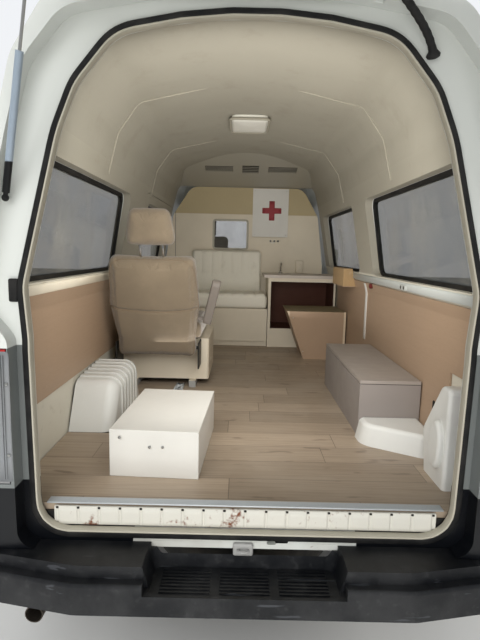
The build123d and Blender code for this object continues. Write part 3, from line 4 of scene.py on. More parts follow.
import bmesh
import bpy
import numpy as np
from bpy.props import FloatProperty, FloatVectorProperty, IntProperty, PointerProperty
from mathutils import Matrix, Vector
from mathutils.bvhtree import BVHTree


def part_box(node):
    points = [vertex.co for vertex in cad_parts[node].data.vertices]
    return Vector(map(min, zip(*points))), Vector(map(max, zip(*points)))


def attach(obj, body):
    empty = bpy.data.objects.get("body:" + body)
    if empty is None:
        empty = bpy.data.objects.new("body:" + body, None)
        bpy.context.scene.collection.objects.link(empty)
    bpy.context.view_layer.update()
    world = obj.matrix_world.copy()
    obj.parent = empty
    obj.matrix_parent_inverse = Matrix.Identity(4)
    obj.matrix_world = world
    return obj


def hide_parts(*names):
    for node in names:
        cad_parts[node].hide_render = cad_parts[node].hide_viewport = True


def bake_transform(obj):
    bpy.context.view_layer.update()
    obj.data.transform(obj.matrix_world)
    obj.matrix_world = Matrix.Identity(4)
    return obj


bl_info = {
    "name": "Ambulance Looks",
    "version": (1, 0, 0),
    "blender": (4, 5, 0),
    "location": "View3D > Sidebar > Ambulance",
    "description": "Adds upholstery, linings, fittings and finishes to the ambulance frame",
    "category": "Object",
}

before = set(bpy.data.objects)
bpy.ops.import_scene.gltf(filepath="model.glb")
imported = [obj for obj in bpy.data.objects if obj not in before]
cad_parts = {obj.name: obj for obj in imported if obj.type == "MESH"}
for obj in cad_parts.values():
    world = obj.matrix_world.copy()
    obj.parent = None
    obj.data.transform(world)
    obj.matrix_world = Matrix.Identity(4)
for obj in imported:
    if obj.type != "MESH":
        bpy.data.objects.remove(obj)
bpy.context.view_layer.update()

# A station is a distance forward of the rear bumper's rearmost face, in metres.
ORIGIN_STATION = 1.772
# Inner face of the side walls: heights and half widths.
WALL_HEIGHTS = (0.600, 0.820, 1.215, 1.330, 1.810, 2.000, 2.142, 2.262)
WALL_HALVES = (0.793, 0.800, 0.800, 0.768, 0.680, 0.632, 0.530, 0.0)
# Line between the outer skin and the inner face: heights and half widths.
SKIN_HEIGHTS = (0.300, 0.600, 1.240, 1.800, 2.010, 2.160, 2.180, 2.204, 2.238, 2.250)
SKIN_HALVES = (0.800, 0.822, 0.826, 0.722, 0.680, 0.550, 0.500, 0.400, 0.200, 0.0)
# Forward of this plane the body is white inside as well
LINING_END = 1.600
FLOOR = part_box("load_floor")[1].z
# Rear face of the bulkhead's board
BULKHEAD_FACE = 3.365
# Edge of the rear opening, left half upwards: half width, height, corner radius
OPENING = [(0.652, 0.572, 0.095), (0.664, 1.180, 0.300), (0.684, 1.340, 0.150), (0.592, 1.800, 0.500),
           (0.540, 1.945, 0.200), (0.425, 2.095, 0.150), (0.0, 2.203, 1.5)]
# Rear profile of the body, and how deep the tailgate sits in it
REAR_HEIGHTS = (0.360, 1.150, 2.290)
REAR_STATIONS = (0.105, 0.112, 0.250)
GATE_ROOM = 0.060
# Attendant seat: foot of the back's middle plane (station, y, height), lean, sizes of its pads
SEAT_FOOT = (1.5196, 0.500, 0.860)
SEAT_RECLINE = 20.0
SEAT_BACK = [(0.225, 0.0, 0.040), (0.225, 0.120, 0.080), (0.255, 0.330, 0.200), (0.228, 0.600, 0.060)]
SEAT_BACK_DEPTH = 0.095
HEAD_RESTRAINT = (0.126, 0.662, 0.850, 0.075)
POCKET_HEIGHT, POCKET_SAG, POCKET_HALF = 0.318, 0.018, 0.24
REAR_AXLE = 1.140
FRONT_AXLE = 3.855
WHEEL_TRACK = 0.735
TYRE_RADIUS = 0.346
# Radius that closes a turned surface at its axis
POLE = 1e-4

# The photograph's camera: station, y, height, then pitch and roll in degrees, focal length in pixels
CAMERA_PLACE = (-1.291, 0.031, 1.460)
CAMERA_PITCH = 8.0
CAMERA_ROLL = 1.3
CAMERA_FOCAL = 493.0
PHOTO_HEIGHT = 640.0

SRGB = {
    "white_paint": (0.80, 0.81, 0.79),
    "inner_white": (0.80, 0.78, 0.72),
    "headliner": (0.62, 0.60, 0.545),
    "cream_board": (0.86, 0.82, 0.74),
    "trim_wood": (0.63, 0.535, 0.445),
    "floor_plank": (0.62, 0.555, 0.48),
    "seat_cloth": (0.45, 0.40, 0.33),
    "white_vinyl": (0.88, 0.86, 0.80),
    "plus_red": (0.60, 0.25, 0.27),
    "box_white": (0.86, 0.85, 0.82),
    "grey_moulding": (0.84, 0.84, 0.82),
    "bumper": (0.030, 0.038, 0.055),
    "rubber": (0.07, 0.07, 0.072),
    "rust": (0.42, 0.22, 0.11),
}


def linear(colour):
    """Scene-linear RGBA of an sRGB colour: the sRGB curve undone channel by channel."""
    values = [c / 12.92 if c <= 0.04045 else ((c + 0.055) / 1.055) ** 2.4 for c in colour]
    return (*values, 1.0)


def scaled(colour, share):
    """Scene-linear colour times a share, kept within 1."""
    return (*[min(1.0, c * share) for c in colour[:3]], 1)


def place(station, y, z):
    """Point of the frame from a station, y and height."""
    return np.array([station - ORIGIN_STATION, y, z], float)


def wall_half(z):
    """Half width of the load space at a height."""
    return np.interp(z, WALL_HEIGHTS, WALL_HALVES)


# Shapes, each a pair of arrays: vertices (n, 3) and faces (m, 4) or (m, 3)


def grid(points, wrap_rows=False, wrap_columns=False):
    """Quads over an array of points (rows, columns, 3), joined end to end where asked."""
    rows, columns = points.shape[:2]
    index = np.arange(rows * columns).reshape(rows, columns)
    if wrap_rows:
        index = np.vstack([index, index[:1]])
    if wrap_columns:
        index = np.hstack([index, index[:, :1]])
    a, b = index[:-1, :-1], index[:-1, 1:]
    c, d = index[1:, 1:], index[1:, :-1]
    return points.reshape(-1, 3), np.stack([a, b, c, d], -1).reshape(-1, 4)


def joined(*shapes):
    """One shape from several."""
    vertices, faces, start = [], [], 0
    for points, quads in shapes:
        vertices.append(points)
        quads = quads if quads.shape[1] == 4 else np.hstack([quads, np.full((len(quads), 1), -1)])
        faces.append(np.where(quads >= 0, quads + start, -1))
        start += len(points)
    return np.vstack(vertices), np.vstack(faces)


def lattice(cells):
    """Surface of a cube cut into cells: whole-number corners (n, 3) and outward quads."""
    cells = np.array(cells)
    sheets, walls = [], []
    for axis in range(3):
        u, v = (axis + 1) % 3, (axis + 2) % 3
        i, j = np.meshgrid(np.arange(cells[u] + 1), np.arange(cells[v] + 1), indexing="ij")
        for end in (0, cells[axis]):
            corner = np.zeros(i.shape + (3,), int)
            corner[..., u], corner[..., v], corner[..., axis] = i, j, end
            points, quads = grid(corner)
            sheets.append(points)
            walls.append(quads[:, ::-1] if end == 0 else quads)
    offsets = np.cumsum([0] + [len(s) for s in sheets[:-1]])
    quads = np.vstack([w + o for w, o in zip(walls, offsets)])
    corners, inverse = np.unique(np.vstack(sheets), axis=0, return_inverse=True)
    return corners, inverse.reshape(-1)[quads][:, ::-1]


def rounded_block(low, high, radius, cells=(4, 4, 4), turns=3, swell=None):
    """Box with rounded edges: each lattice point is pulled to the radius round an inner box.

    swell gives how far each point goes out along its normal, from its share -1 to 1 of each half size."""
    low, high = np.array(low, float), np.array(high, float)
    half, centre = (high - low) / 2, (high + low) / 2
    radius = min(radius, float(half.min()) * 0.999)
    cells = np.array(cells)
    corners, quads = lattice(cells + 2 * turns)
    unit = np.empty(corners.shape)
    for axis in range(3):
        step = corners[:, axis].astype(float)
        core = half[axis] - radius
        middle = -core + 2 * core * (step - turns) / cells[axis]
        angle = (turns - np.minimum(step, 2 * turns + cells[axis] - step)) / turns * math.pi / 4
        edge = core + radius * np.tan(np.clip(angle, 0, None))
        outer = np.where(step < turns, -edge, edge)
        unit[:, axis] = np.where((step < turns) | (step > turns + cells[axis]), outer, middle)
    core = np.clip(unit, -(half - radius), half - radius)
    away = unit - core
    length = np.linalg.norm(away, axis=1, keepdims=True)
    normal = away / np.where(length == 0, 1, length)
    reach = radius + (swell(unit / half, normal)[:, None] if swell else 0.0)
    return centre + core + normal * reach, quads


def block_at(stations, y, z, radius=0.002, cells=(1, 1, 1), turns=2):
    """Rounded block from pairs of station, y and height."""
    low, high = place(min(stations), min(y), min(z)), place(max(stations), max(y), max(z))
    return rounded_block(low, high, radius, cells, turns)


def turned_profile(profile, sides=32, axis="x", centre=(0, 0, 0)):
    """Surface of revolution: rows of (distance along the axis, radius) turned about it."""
    profile = np.array(profile, float)
    angle = np.linspace(0, 2 * math.pi, sides, endpoint=False)
    along = np.repeat(profile[:, :1], sides, 1)
    ring = profile[:, 1:2]
    parts = {"x": (along, ring * np.cos(angle), ring * np.sin(angle)),
             "y": (ring * np.sin(angle), along, ring * np.cos(angle)),
             "z": (ring * np.cos(angle), ring * np.sin(angle), along)}[axis]
    points, quads = grid(np.stack(parts, -1), wrap_columns=True)
    return points + np.array(centre, float), quads[:, ::-1]


def loop_frames(path, normal, closed=True):
    """Tangent and sideways vectors at each point of a path in a plane with that normal."""
    if closed:
        tangent = np.roll(path, -1, 0) - np.roll(path, 1, 0)
    else:
        tangent = np.gradient(path, axis=0)
    tangent = tangent / np.linalg.norm(tangent, axis=1, keepdims=True)
    normal = np.broadcast_to(np.array(normal, float), path.shape)
    sideways = np.cross(tangent, normal)
    return tangent, sideways / np.linalg.norm(sideways, axis=1, keepdims=True)


def carried(profile, path, normal, closed=True):
    """A closed profile carried along a path: each of its points stands (sideways, along normal)."""
    tangent, sideways = loop_frames(path, normal, closed)
    up = np.cross(sideways, tangent)
    profile = np.array(profile, float)
    points = path[:, None] + profile[None, :, :1] * sideways[:, None] + profile[None, :, 1:] * up[:, None]
    points, quads = grid(points, wrap_rows=closed, wrap_columns=True)
    if closed:
        return points, quads
    count = len(profile)
    return capped(points, quads, count, [points[:count].mean(0), points[-count:].mean(0)])


def capped(points, quads, count, tips):
    """A tube of rings of points, its first and last ring closed by fans round two tips."""
    rings = [np.arange(count)[::-1], np.arange(len(points) - count, len(points))]
    fans = [np.stack([np.full(count, len(points) + k), ring, np.roll(ring, -1)], 1)
            for k, ring in enumerate(rings)]
    return joined_fans(np.vstack([points, tips]), quads, fans)


def joined_fans(points, quads, fans):
    """Quads and triangle fans over the same points."""
    triangles = np.hstack([np.vstack(fans), np.full((sum(len(f) for f in fans), 1), -1)])
    return points, np.vstack([quads, triangles])


def circle(radius, sides=8):
    """Profile of a round section."""
    angle = np.linspace(0, 2 * math.pi, sides, endpoint=False)
    return np.stack([np.cos(angle), np.sin(angle)], 1) * radius


def rounded_outline(corners, steps=6):
    """Closed outline through (a, b, radius) corners, each turned by an arc of that radius."""
    rows = np.array(corners, float)
    points = []
    for before, at, after in zip(np.roll(rows, 1, 0), rows, np.roll(rows, -1, 0)):
        one, two = before[:2] - at[:2], after[:2] - at[:2]
        one, two = one / np.linalg.norm(one), two / np.linalg.norm(two)
        half = math.acos(float(np.clip(one @ two, -1, 1))) / 2
        radius = max(at[2], 1e-4)
        middle = at[:2] + (one + two) / np.linalg.norm(one + two) * radius / math.sin(half)
        start, end = at[:2] + one * radius / math.tan(half), at[:2] + two * radius / math.tan(half)
        a0 = math.atan2(*(start - middle)[::-1])
        sweep = math.atan2(*(end - middle)[::-1]) - a0
        sweep = (sweep + math.pi) % (2 * math.pi) - math.pi
        angle = a0 + sweep * np.linspace(0, 1, steps)
        points.append(middle + radius * np.stack([np.cos(angle), np.sin(angle)], 1))
    return np.vstack(points)


def even(outline, count):
    """The closed outline again as points spaced evenly along it."""
    closed = np.vstack([outline, outline[:1]])
    length = np.concatenate([[0], np.cumsum(np.linalg.norm(np.diff(closed, axis=0), axis=1))])
    where = np.linspace(0, length[-1], count, endpoint=False)
    return np.stack([np.interp(where, length, closed[:, k]) for k in range(outline.shape[1])], 1)


def plate(outline, thickness, crown=0.0, rings=5):
    """Closed plate from an outline (n, 3): rings shrink to its centre, raised by crown times 1 - r2."""
    centre = outline.mean(0)
    across = outline - centre
    normal = np.cross(across, np.roll(across, -1, 0)).sum(0)
    normal = normal / np.linalg.norm(normal)
    share = np.linspace(1, 0, rings + 1)[:-1, None, None]
    face = centre + across * share
    top = face + normal * (thickness + crown * (1 - share ** 2))
    bottom = face[::-1]
    stack = np.concatenate([bottom, top])
    points, quads = grid(stack, wrap_columns=True)
    return capped(points, quads, len(outline), [centre, centre + normal * (thickness + crown)])


def upright(rows, station):
    """Points of y and height stood across the van, at one station or one each."""
    return np.stack([np.broadcast_to(station, len(rows)) - ORIGIN_STATION, rows[:, 0], rows[:, 1]], 1)


def level(rows, z):
    """Points of station and y laid at a height."""
    return np.stack([rows[:, 0] - ORIGIN_STATION, rows[:, 1], np.full(len(rows), z)], 1)


def bar(start, end, profile, normal=(0, 0, 1)):
    """Straight capped bar with a closed profile (sideways, along normal) between two points."""
    return carried(profile, np.array([start, end], float), normal, closed=False)


def rectangle(a, b):
    """Closed profile of a rectangle from its two ranges."""
    return np.array([(a[0], b[0]), (a[1], b[0]), (a[1], b[1]), (a[0], b[1])], float)


def rounded_rectangle(a, b, radius, steps=6):
    """The same outline with rounded corners."""
    return rounded_outline([(*corner, radius) for corner in rectangle(a, b)], steps)


def disc(centre, radius, thickness, axis="x", sides=20):
    """Short cylinder with a bevelled rim, from its centre along the axis."""
    bevel = min(radius, abs(thickness)) * 0.25 * np.sign(thickness)
    profile = [(0, POLE), (0, radius), (thickness - bevel, radius), (thickness, radius - abs(bevel)),
               (thickness, POLE)]
    return turned_profile(profile, sides, axis, centre)


def face_station(z):
    """Station of the frame's face round the rear opening at a height."""
    return np.interp(z, REAR_HEIGHTS, REAR_STATIONS) + GATE_ROOM


def opening_path(count=300):
    """The rear opening's edge, up the left side and down the right, on the frame's face."""
    rows = OPENING[:-1] + [OPENING[-1]] + [(-y, z, r) for y, z, r in reversed(OPENING[:-1])]
    flat = even(rounded_outline(rows), count)
    return upright(flat, face_station(flat[:, 1]))


def seat_frame(points):
    """Points (across, up, forward) of the attendant seat's back, put in the frame's coordinates."""
    lean = math.radians(SEAT_RECLINE)
    up = np.array([-math.sin(lean), 0, math.cos(lean)])
    forward = np.array([math.cos(lean), 0, math.sin(lean)])
    points = np.asarray(points, float)
    across = points[:, :1] * np.array([0, 1.0, 0])
    return place(*SEAT_FOOT) + across + points[:, 1:2] * up + points[:, 2:] * forward


def seat_local(points):
    """The reverse of seat_frame."""
    lean = math.radians(SEAT_RECLINE)
    away = points - place(*SEAT_FOOT)
    up = away @ np.array([-math.sin(lean), 0, math.cos(lean)])
    forward = away @ np.array([math.cos(lean), 0, math.sin(lean)])
    return np.stack([away[:, 1], up, forward], 1)


class Number:
    """A value socket of a node tree; arithmetic on it adds Math nodes."""

    def __init__(self, finish, socket):
        self.finish, self.socket = finish, socket

    def _math(self, operation, *others):
        values = dict(enumerate((self, *others)))
        return Number(self.finish, self.finish.node("Math", {"operation": operation}, values).outputs[0])

    def __add__(self, other):
        return self._math("ADD", other)

    def __mul__(self, other):
        return self._math("MULTIPLY", other)

    def __sub__(self, other):
        return self._math("SUBTRACT", other)

    def __rsub__(self, other):
        return (self * -1.0) + other

    def __truediv__(self, other):
        return self._math("DIVIDE", other)

    __radd__, __rmul__ = __add__, __mul__

    def absolute(self):
        return self._math("ABSOLUTE")

    def fraction(self):
        return self._math("FRACT")

    def whole(self):
        return self._math("FLOOR")

    def most(self, other):
        return self._math("MAXIMUM", other)

    def above(self, edge, soft=0.0005):
        """1 where the value is over the edge and 0 under it, with a soft step between."""
        settings = {"interpolation_type": "SMOOTHSTEP"}
        sockets = {0: self, 1: edge - soft, 2: edge + soft, 3: 0.0, 4: 1.0}
        return Number(self.finish, self.finish.node("MapRange", settings, sockets).outputs[0])

    def ramp(self, *stops):
        """Piecewise straight function of a value from 0 to 1: stops of (position, result)."""
        node = self.finish.node("ValToRGB", {}, {0: self})
        elements = node.color_ramp.elements
        elements[0].position, elements[1].position = stops[0][0], stops[-1][0]
        for position, _ in stops[1:-1]:
            elements.new(position)
        for element, (_, result) in zip(elements, stops):
            element.color = (result,) * 3 + (1,)
        return Number(self.finish, node.outputs[0])


class Finish:
    """A material under construction, with the steps that the finishes share."""

    def __init__(self, name):
        self.material = bpy.data.materials.new(name)
        self.material.use_nodes = True
        self.tree = self.material.node_tree
        self.tree.nodes.clear()
        self.object = self.node("TexCoord").outputs["Object"]
        self._axes = None

    def node(self, kind, settings=None, sockets=None):
        """A node of that kind, its settings made first, then values or links put in its sockets."""
        node = self.tree.nodes.new("ShaderNode" + kind)
        for key, value in (settings or {}).items():
            setattr(node, key, value)
        for key, value in (sockets or {}).items():
            socket = node.inputs[key]
            value = value.socket if isinstance(value, Number) else value
            if isinstance(value, bpy.types.NodeSocket):
                self.tree.links.new(value, socket)
            else:
                socket.default_value = value
        return node

    @property
    def axes(self):
        """X, Y and Z of the Object coordinates."""
        if self._axes is None:
            split = self.node("SeparateXYZ", {}, {0: self.object})
            self._axes = [Number(self, s) for s in split.outputs]
        return self._axes

    def uv(self):
        """U and V of the piece's own map."""
        split = self.node("SeparateXYZ", {}, {0: self.node("UVMap").outputs[0]})
        return [Number(self, s) for s in split.outputs[:2]]

    def vector(self, x, y, z):
        return self.node("CombineXYZ", {}, {0: x, 1: y, 2: z}).outputs[0]

    def stretched(self, scale):
        """Object coordinates scaled along each axis, for grain and streaks."""
        return self.node("Mapping", {}, {0: self.object, 3: scale}).outputs[0]

    def noise(self, scale, detail=3.0, roughness=0.5, vector=None, distortion=0.0):
        """Cloudy value round 0.5."""
        sockets = {"Vector": vector or self.object, "Scale": scale, "Detail": detail, "Roughness": roughness,
                   "Distortion": distortion}
        return Number(self, self.node("TexNoise", {}, sockets).outputs[0])

    def cells(self, scale, feature="F1"):
        """Cell pattern: distance to the nearest of points scattered at a scale."""
        node = self.node("TexVoronoi", {"feature": feature}, {"Vector": self.object, "Scale": scale})
        return Number(self, node.outputs["Distance"])

    def hashed(self, value):
        """A fixed random number from 0 to 1 for each whole value."""
        node = self.node("TexWhiteNoise", {"noise_dimensions": "1D"}, {"W": value})
        return Number(self, node.outputs["Value"])

    def mix(self, share, one, two):
        """Colour from one to two by a share."""
        return self.node("Mix", {"data_type": "RGBA"}, {"Factor": share, 6: one, 7: two}).outputs[2]

    def tinted(self, colour, share, strength):
        """The colour made lighter and darker by a cloudy value round 0.5."""
        return self.mix(share, scaled(colour, 1 - strength), scaled(colour, 1 + strength))

    def bump(self, height, distance, strength=1.0, onto=None):
        """Normal from a height in metres times 1/distance, on top of another normal."""
        sockets = {"Height": height, "Distance": distance, "Strength": strength}
        if onto:
            sockets["Normal"] = onto
        return self.node("Bump", {}, sockets).outputs[0]

    def finish(self, colour, roughness=0.5, normal=None, **values):
        """The shader: linked colour, roughness and normal, and plain values on its other sockets."""
        sockets = {"Base Color": colour, "Roughness": roughness}
        if normal:
            sockets["Normal"] = normal
        sockets.update({key.replace("_", " ").title().replace("Ior", "IOR"): v for key, v in values.items()})
        shader = self.node("BsdfPrincipled", {}, sockets)
        self.node("OutputMaterial", {}, {0: shader.outputs[0]})
        return self.material


def inside_mask(finish):
    """1 on the load space's side of the body's shell and 0 outside it and in the cab."""
    x, y, z = finish.axes
    limit = (z / 2.4).ramp(*[(h / 2.4, w) for h, w in zip(SKIN_HEIGHTS, SKIN_HALVES)])
    return (limit - y.absolute()).above(0.0, 0.001) * (1 - x.above(LINING_END, 0.004)) * z.above(0.600, 0.005)


def rust_mask(finish, low, high):
    """Patches of rust that thin out between two heights."""
    z = finish.axes[2]
    patches = finish.noise(9, 6, 0.65)
    spots = finish.noise(55, 3, 0.6)
    near = 1 - (z - low).above((high - low) / 2, (high - low) / 2)
    return (patches * 0.65 + spots * 0.35 + near * 0.10).above(0.645, 0.025)


def make_paint(name, inner, corners=False):
    """White body paint, dusty low down and rust-flecked at the sill, with another colour inside.

    corners is for the rear frame: white inside too, grey beside the lamps, black in its lower corners."""
    f = Finish(name)
    x, y, z = f.axes
    inside = inside_mask(f) * (x.above(-1.44, 0.004) if corners else 1.0)
    outer = f.tinted(linear(SRGB["white_paint"]), f.noise(1.7, 4), 0.05)
    dust = (1 - z.above(0.75, 0.35)) * f.noise(5, 5).above(0.5, 0.25) * 0.45
    outer = f.mix(dust, outer, linear((0.50, 0.45, 0.38)))
    lining = f.mix(z.above(1.335, 0.004), linear(inner), linear(SRGB["headliner"]))
    lining = f.mix(f.noise(2.3, 4) * 0.12, lining, linear((0.52, 0.50, 0.44)))
    lining = f.mix(f.noise(14, 5, 0.6).above(0.66, 0.06) * 0.25, lining, linear((0.55, 0.49, 0.40)))
    colour = f.mix(inside, outer, lining)
    sill = (1 - z.above(0.60, 0.015)) * (1 - x.above(-1.45, 0.02))
    rust = rust_mask(f, 0.47, 0.56) * sill * (1 - z.above(0.53, 0.02))
    if corners:
        black = (1 - z.above(0.735, 0.001)) * y.absolute().above(0.355, 0.001)
        beside = (1 - z.above(1.163, 0.001)) * y.absolute().above(0.678, 0.001) * (1 - inside)
        colour = f.mix(beside, colour, f.tinted(linear((0.44, 0.455, 0.45)), f.noise(6, 5), 0.12))
        colour = f.mix(black, colour, f.tinted(linear(SRGB["bumper"]), f.noise(6, 5), 0.2))
        rust = rust * (1 - black)
    colour = f.mix(rust, colour, linear(SRGB["rust"]))
    grain = f.cells(900) * inside * 0.4 + f.noise(260, 2) * 0.15
    normal = f.bump(grain + rust * f.noise(120, 4) * 2.0, 0.0006, 0.35)
    return f.finish(colour, 0.28 + inside * 0.30 + rust * 0.4 + dust * 0.3, normal, coat_roughness=0.1)


def make_headliner():
    """Roof: white paint outside, and inside a warm grey lining with soft folds and faint stains."""
    f = Finish("headliner")
    z = f.axes[2]
    inside = inside_mask(f) * (1 - z.above(2.250, 0.004))
    outer = f.tinted(linear(SRGB["white_paint"]), f.noise(1.7, 4), 0.04)
    lining = f.tinted(linear(SRGB["headliner"]), f.noise(1.3, 4), 0.09)
    lining = f.mix(f.noise(6, 6, 0.65).above(0.62, 0.10) * 0.18, lining, linear((0.45, 0.41, 0.34)))
    folds = f.noise(1.6, 3, 0.5, f.stretched((1.0, 0.35, 0.35)), 0.8)
    normal = f.bump(folds, 0.030, 0.5)
    normal = f.bump(f.cells(420) * inside, 0.0008, 0.35, normal)
    return f.finish(f.mix(inside, outer, lining), 0.3 + inside * 0.42, normal)


def make_planks():
    """Wood pattern sheet vinyl: planks in rows across the van, each with its own tone and grain."""
    f = Finish("plank_vinyl")
    x, y = f.axes[:2]
    looks = bpy.context.scene.ambulance_looks
    width, length = looks.plank_width, 0.92
    row = (x / width).whole()
    along = y / length + f.hashed(row) * 3.7
    plank = along.whole() * 17.3 + row * 5.1
    tone = f.hashed(plank)
    grain_place = f.vector(x * 22, y * 1.4 + tone * 9, tone * 31)
    grain = f.noise(6.0, 7, 0.62, grain_place, 0.6)
    streak = f.noise(2.2, 5, 0.6, f.vector(x * 60, y * 0.9, tone * 11), 0.3)
    knots = f.noise(3.0, 2, 0.5, f.vector(x * 7, y * 2.2, tone * 7)).above(0.68, 0.05)
    base = linear(looks.floor_colour)
    colour = f.tinted(base, grain * 0.55 + tone * 0.45, 0.34)
    colour = f.mix(streak.above(0.56, 0.10) * 0.35, colour, linear((0.42, 0.35, 0.29)))
    colour = f.mix(knots * 0.5, colour, linear((0.34, 0.27, 0.22)))
    side_edge = ((x / width).fraction() - 0.5).absolute()
    end_edge = (along.fraction() - 0.5).absolute()
    seam = side_edge.above(0.5 - 0.0016 / width, 0.006).most(end_edge.above(0.4985, 0.0008))
    colour = f.mix(seam * 0.65, colour, linear((0.25, 0.20, 0.16)))
    dust = f.noise(3.1, 6, 0.6).above(0.52, 0.16)
    colour = f.mix(dust * 0.22, colour, linear((0.70, 0.66, 0.60)))
    normal = f.bump(grain * 0.3 - seam * 1.0, 0.0009, 0.4)
    return f.finish(colour, 0.42 + dust * 0.25 - grain * 0.12, normal)


def make_trim_wood():
    """Printed wood laminate: fine straight grain along the van, darker figures, a golden box on the wall."""
    f = Finish("trim_wood")
    x, y, z = f.axes
    colour, depth = bpy.context.scene.ambulance_looks.trim_colour, 0.10
    spot = f.vector(x * 0.9, y * 14, z * 14)
    grain = f.noise(5.5, 8, 0.66, spot, 0.5)
    fine = f.noise(38.0, 3, 0.6, spot)
    figure = f.noise(1.6, 3, 0.5, spot, 1.4)
    tone = f.tinted(linear(colour), grain * 0.6 + figure * 0.4, depth)
    box = zone_box((2.238, 2.642), z=(1.226, None))
    tone = f.mix(zone(f, *box), tone, f.tinted(linear((0.70, 0.58, 0.42)), grain, depth))
    tone = f.mix(fine.above(0.60, 0.06) * 0.12, tone, linear(tuple(c * 0.72 for c in colour)))
    scuff = f.noise(11, 6, 0.7).above(0.68, 0.05)
    tone = f.mix(scuff * 0.25, tone, linear((0.80, 0.74, 0.66)))
    return f.finish(tone, 0.45 + fine * 0.1 + scuff * 0.2, f.bump(grain * 0.5 + fine * 0.5, 0.0004, 0.35))


def zone(f, low, high):
    """1 inside a box of the object's coordinates, with None for an open side."""
    share = None
    for axis, start, end in zip(f.axes, low, high):
        for edge, sign in ((start, 1), (end, -1)):
            if edge is not None:
                step = axis.above(edge, 0.0004)
                step = step if sign > 0 else 1 - step
                share = step if share is None else share * step
    return share


def make_zoned(name, colour, zones, roughness=0.42):
    """Painted board whose colour changes inside boxes: (low, high, colour, whether it is wood)."""
    f = Finish(name)
    cloud = f.noise(4, 4)
    streak = f.noise(5.0, 7, 0.65, f.stretched((14, 1.2, 14)), 0.4)
    tone = f.tinted(linear(colour), cloud, 0.06)
    for low, high, shade, wooden in zones:
        painted = f.tinted(linear(shade), streak if wooden else cloud, 0.22 if wooden else 0.06)
        tone = f.mix(zone(f, low, high), tone, painted)
    film = f.noise(2.6, 6, 0.62).above(0.52, 0.16)
    tone = f.mix(film * 0.08, tone, linear((0.55, 0.52, 0.48)))
    return f.finish(tone, roughness + film * 0.2, f.bump(f.cells(300), 0.0002, 0.4))


def zone_box(stations=(None, None), y=(None, None), z=(None, None)):
    """Low and high corners of a zone from stations, y and heights; None is open."""
    x = [None if station is None else station - ORIGIN_STATION for station in stations]
    return list(zip(x, y, z))


def make_overhead():
    """Ceiling fittings: white lamp, and headliner-coloured housing with painted shade in its vents' hollows.
    """
    f = Finish("overhead")
    x, _, z = f.axes
    depth = (x - (2.620 - ORIGIN_STATION)) * 0.288 + (z - 2.262) * 0.957
    tone = f.tinted(linear(SRGB["headliner"]), f.noise(3, 4), 0.06)
    # Painted shade: dark colour more than 6 mm into the housing, where the vents' hollows lie in shadow.
    tone = f.mix(depth.above(0.006, 0.002), tone, linear((0.20, 0.19, 0.17)))
    lamp = 1 - x.above(2.3 - ORIGIN_STATION)
    tone = f.mix(lamp, tone, linear((0.88, 0.87, 0.82)))
    return f.finish(tone, 0.45 - lamp * 0.15, f.bump(f.cells(500), 0.0003, 0.3))


def make_strut():
    """Gas strut tube: pale blue-grey paint with a black lower end."""
    f = Finish("strut_paint")
    z = f.axes[2]
    tone = f.tinted(linear((0.60, 0.65, 0.70)), f.noise(20, 4), 0.08)
    tone = f.mix(1 - z.above(1.70, 0.002), tone, linear((0.08, 0.08, 0.085)))
    return f.finish(tone, 0.32, None, metallic=0.25)


def make_plastic(name, colour, roughness=0.5, grain=700, depth=0.0005, dust=0.2):
    """Moulded plastic: a fine pebble grain, cloudy tone and pale dust."""
    f = Finish(name)
    tone = f.tinted(linear(colour), f.noise(4, 4), 0.07)
    film = f.noise(2.6, 6, 0.62).above(0.52, 0.16)
    tone = f.mix(film * dust, tone, linear((0.55, 0.52, 0.48)))
    pebble = f.cells(grain)
    return f.finish(tone, roughness + film * 0.2, f.bump(pebble, depth, 0.4))


def make_cloth():
    """Woven seat cloth: two crossing sets of threads by a map in metres, with worn, lighter areas."""
    f = Finish("seat_cloth")
    u, v = f.uv()
    colour = linear(bpy.context.scene.ambulance_looks.seat_colour)
    pitch = 0.0016
    warp = ((u / pitch).fraction() - 0.5).absolute()
    weft = ((v / pitch).fraction() - 0.5).absolute()
    over = ((u / pitch).whole() + (v / pitch).whole()) * 0.5
    checker = over.fraction() * 2
    thread = checker * (0.5 - warp) + (1 - checker) * (0.5 - weft)
    tone = f.tinted(colour, f.noise(7, 6, 0.65), 0.16)
    tone = f.mix(thread * 0.55, tone, scaled(colour, 1.5))
    worn = f.noise(3.2, 5, 0.6).above(0.57, 0.12)
    tone = f.mix(worn * 0.25, tone, linear((0.60, 0.54, 0.45)))
    fuzz = f.noise(900, 2)
    normal = f.bump(thread + fuzz * 0.3, 0.0006, 0.55)
    normal = f.bump(f.noise(26, 4, 0.6), 0.0022, 0.35, normal)
    return f.finish(tone, 0.93, normal, sheen_weight=0.35, sheen_roughness=0.5)


def make_vinyl(name, colour):
    """Soft upholstery vinyl: leather grain and shallow creases."""
    f = Finish(name)
    tone = f.tinted(linear(colour), f.noise(5, 5, 0.6), 0.06)
    tone = f.mix(f.noise(9, 6, 0.7).above(0.62, 0.08) * 0.15, tone, linear((0.58, 0.52, 0.44)))
    grain = f.cells(520, feature="SMOOTH_F1")
    crease = f.noise(18, 5, 0.65, f.stretched((1, 1, 0.4)), 0.8)
    normal = f.bump(grain, 0.0006, 0.35)
    return f.finish(tone, 0.42 + grain * 0.2, f.bump(crease, 0.003, 0.3, normal))


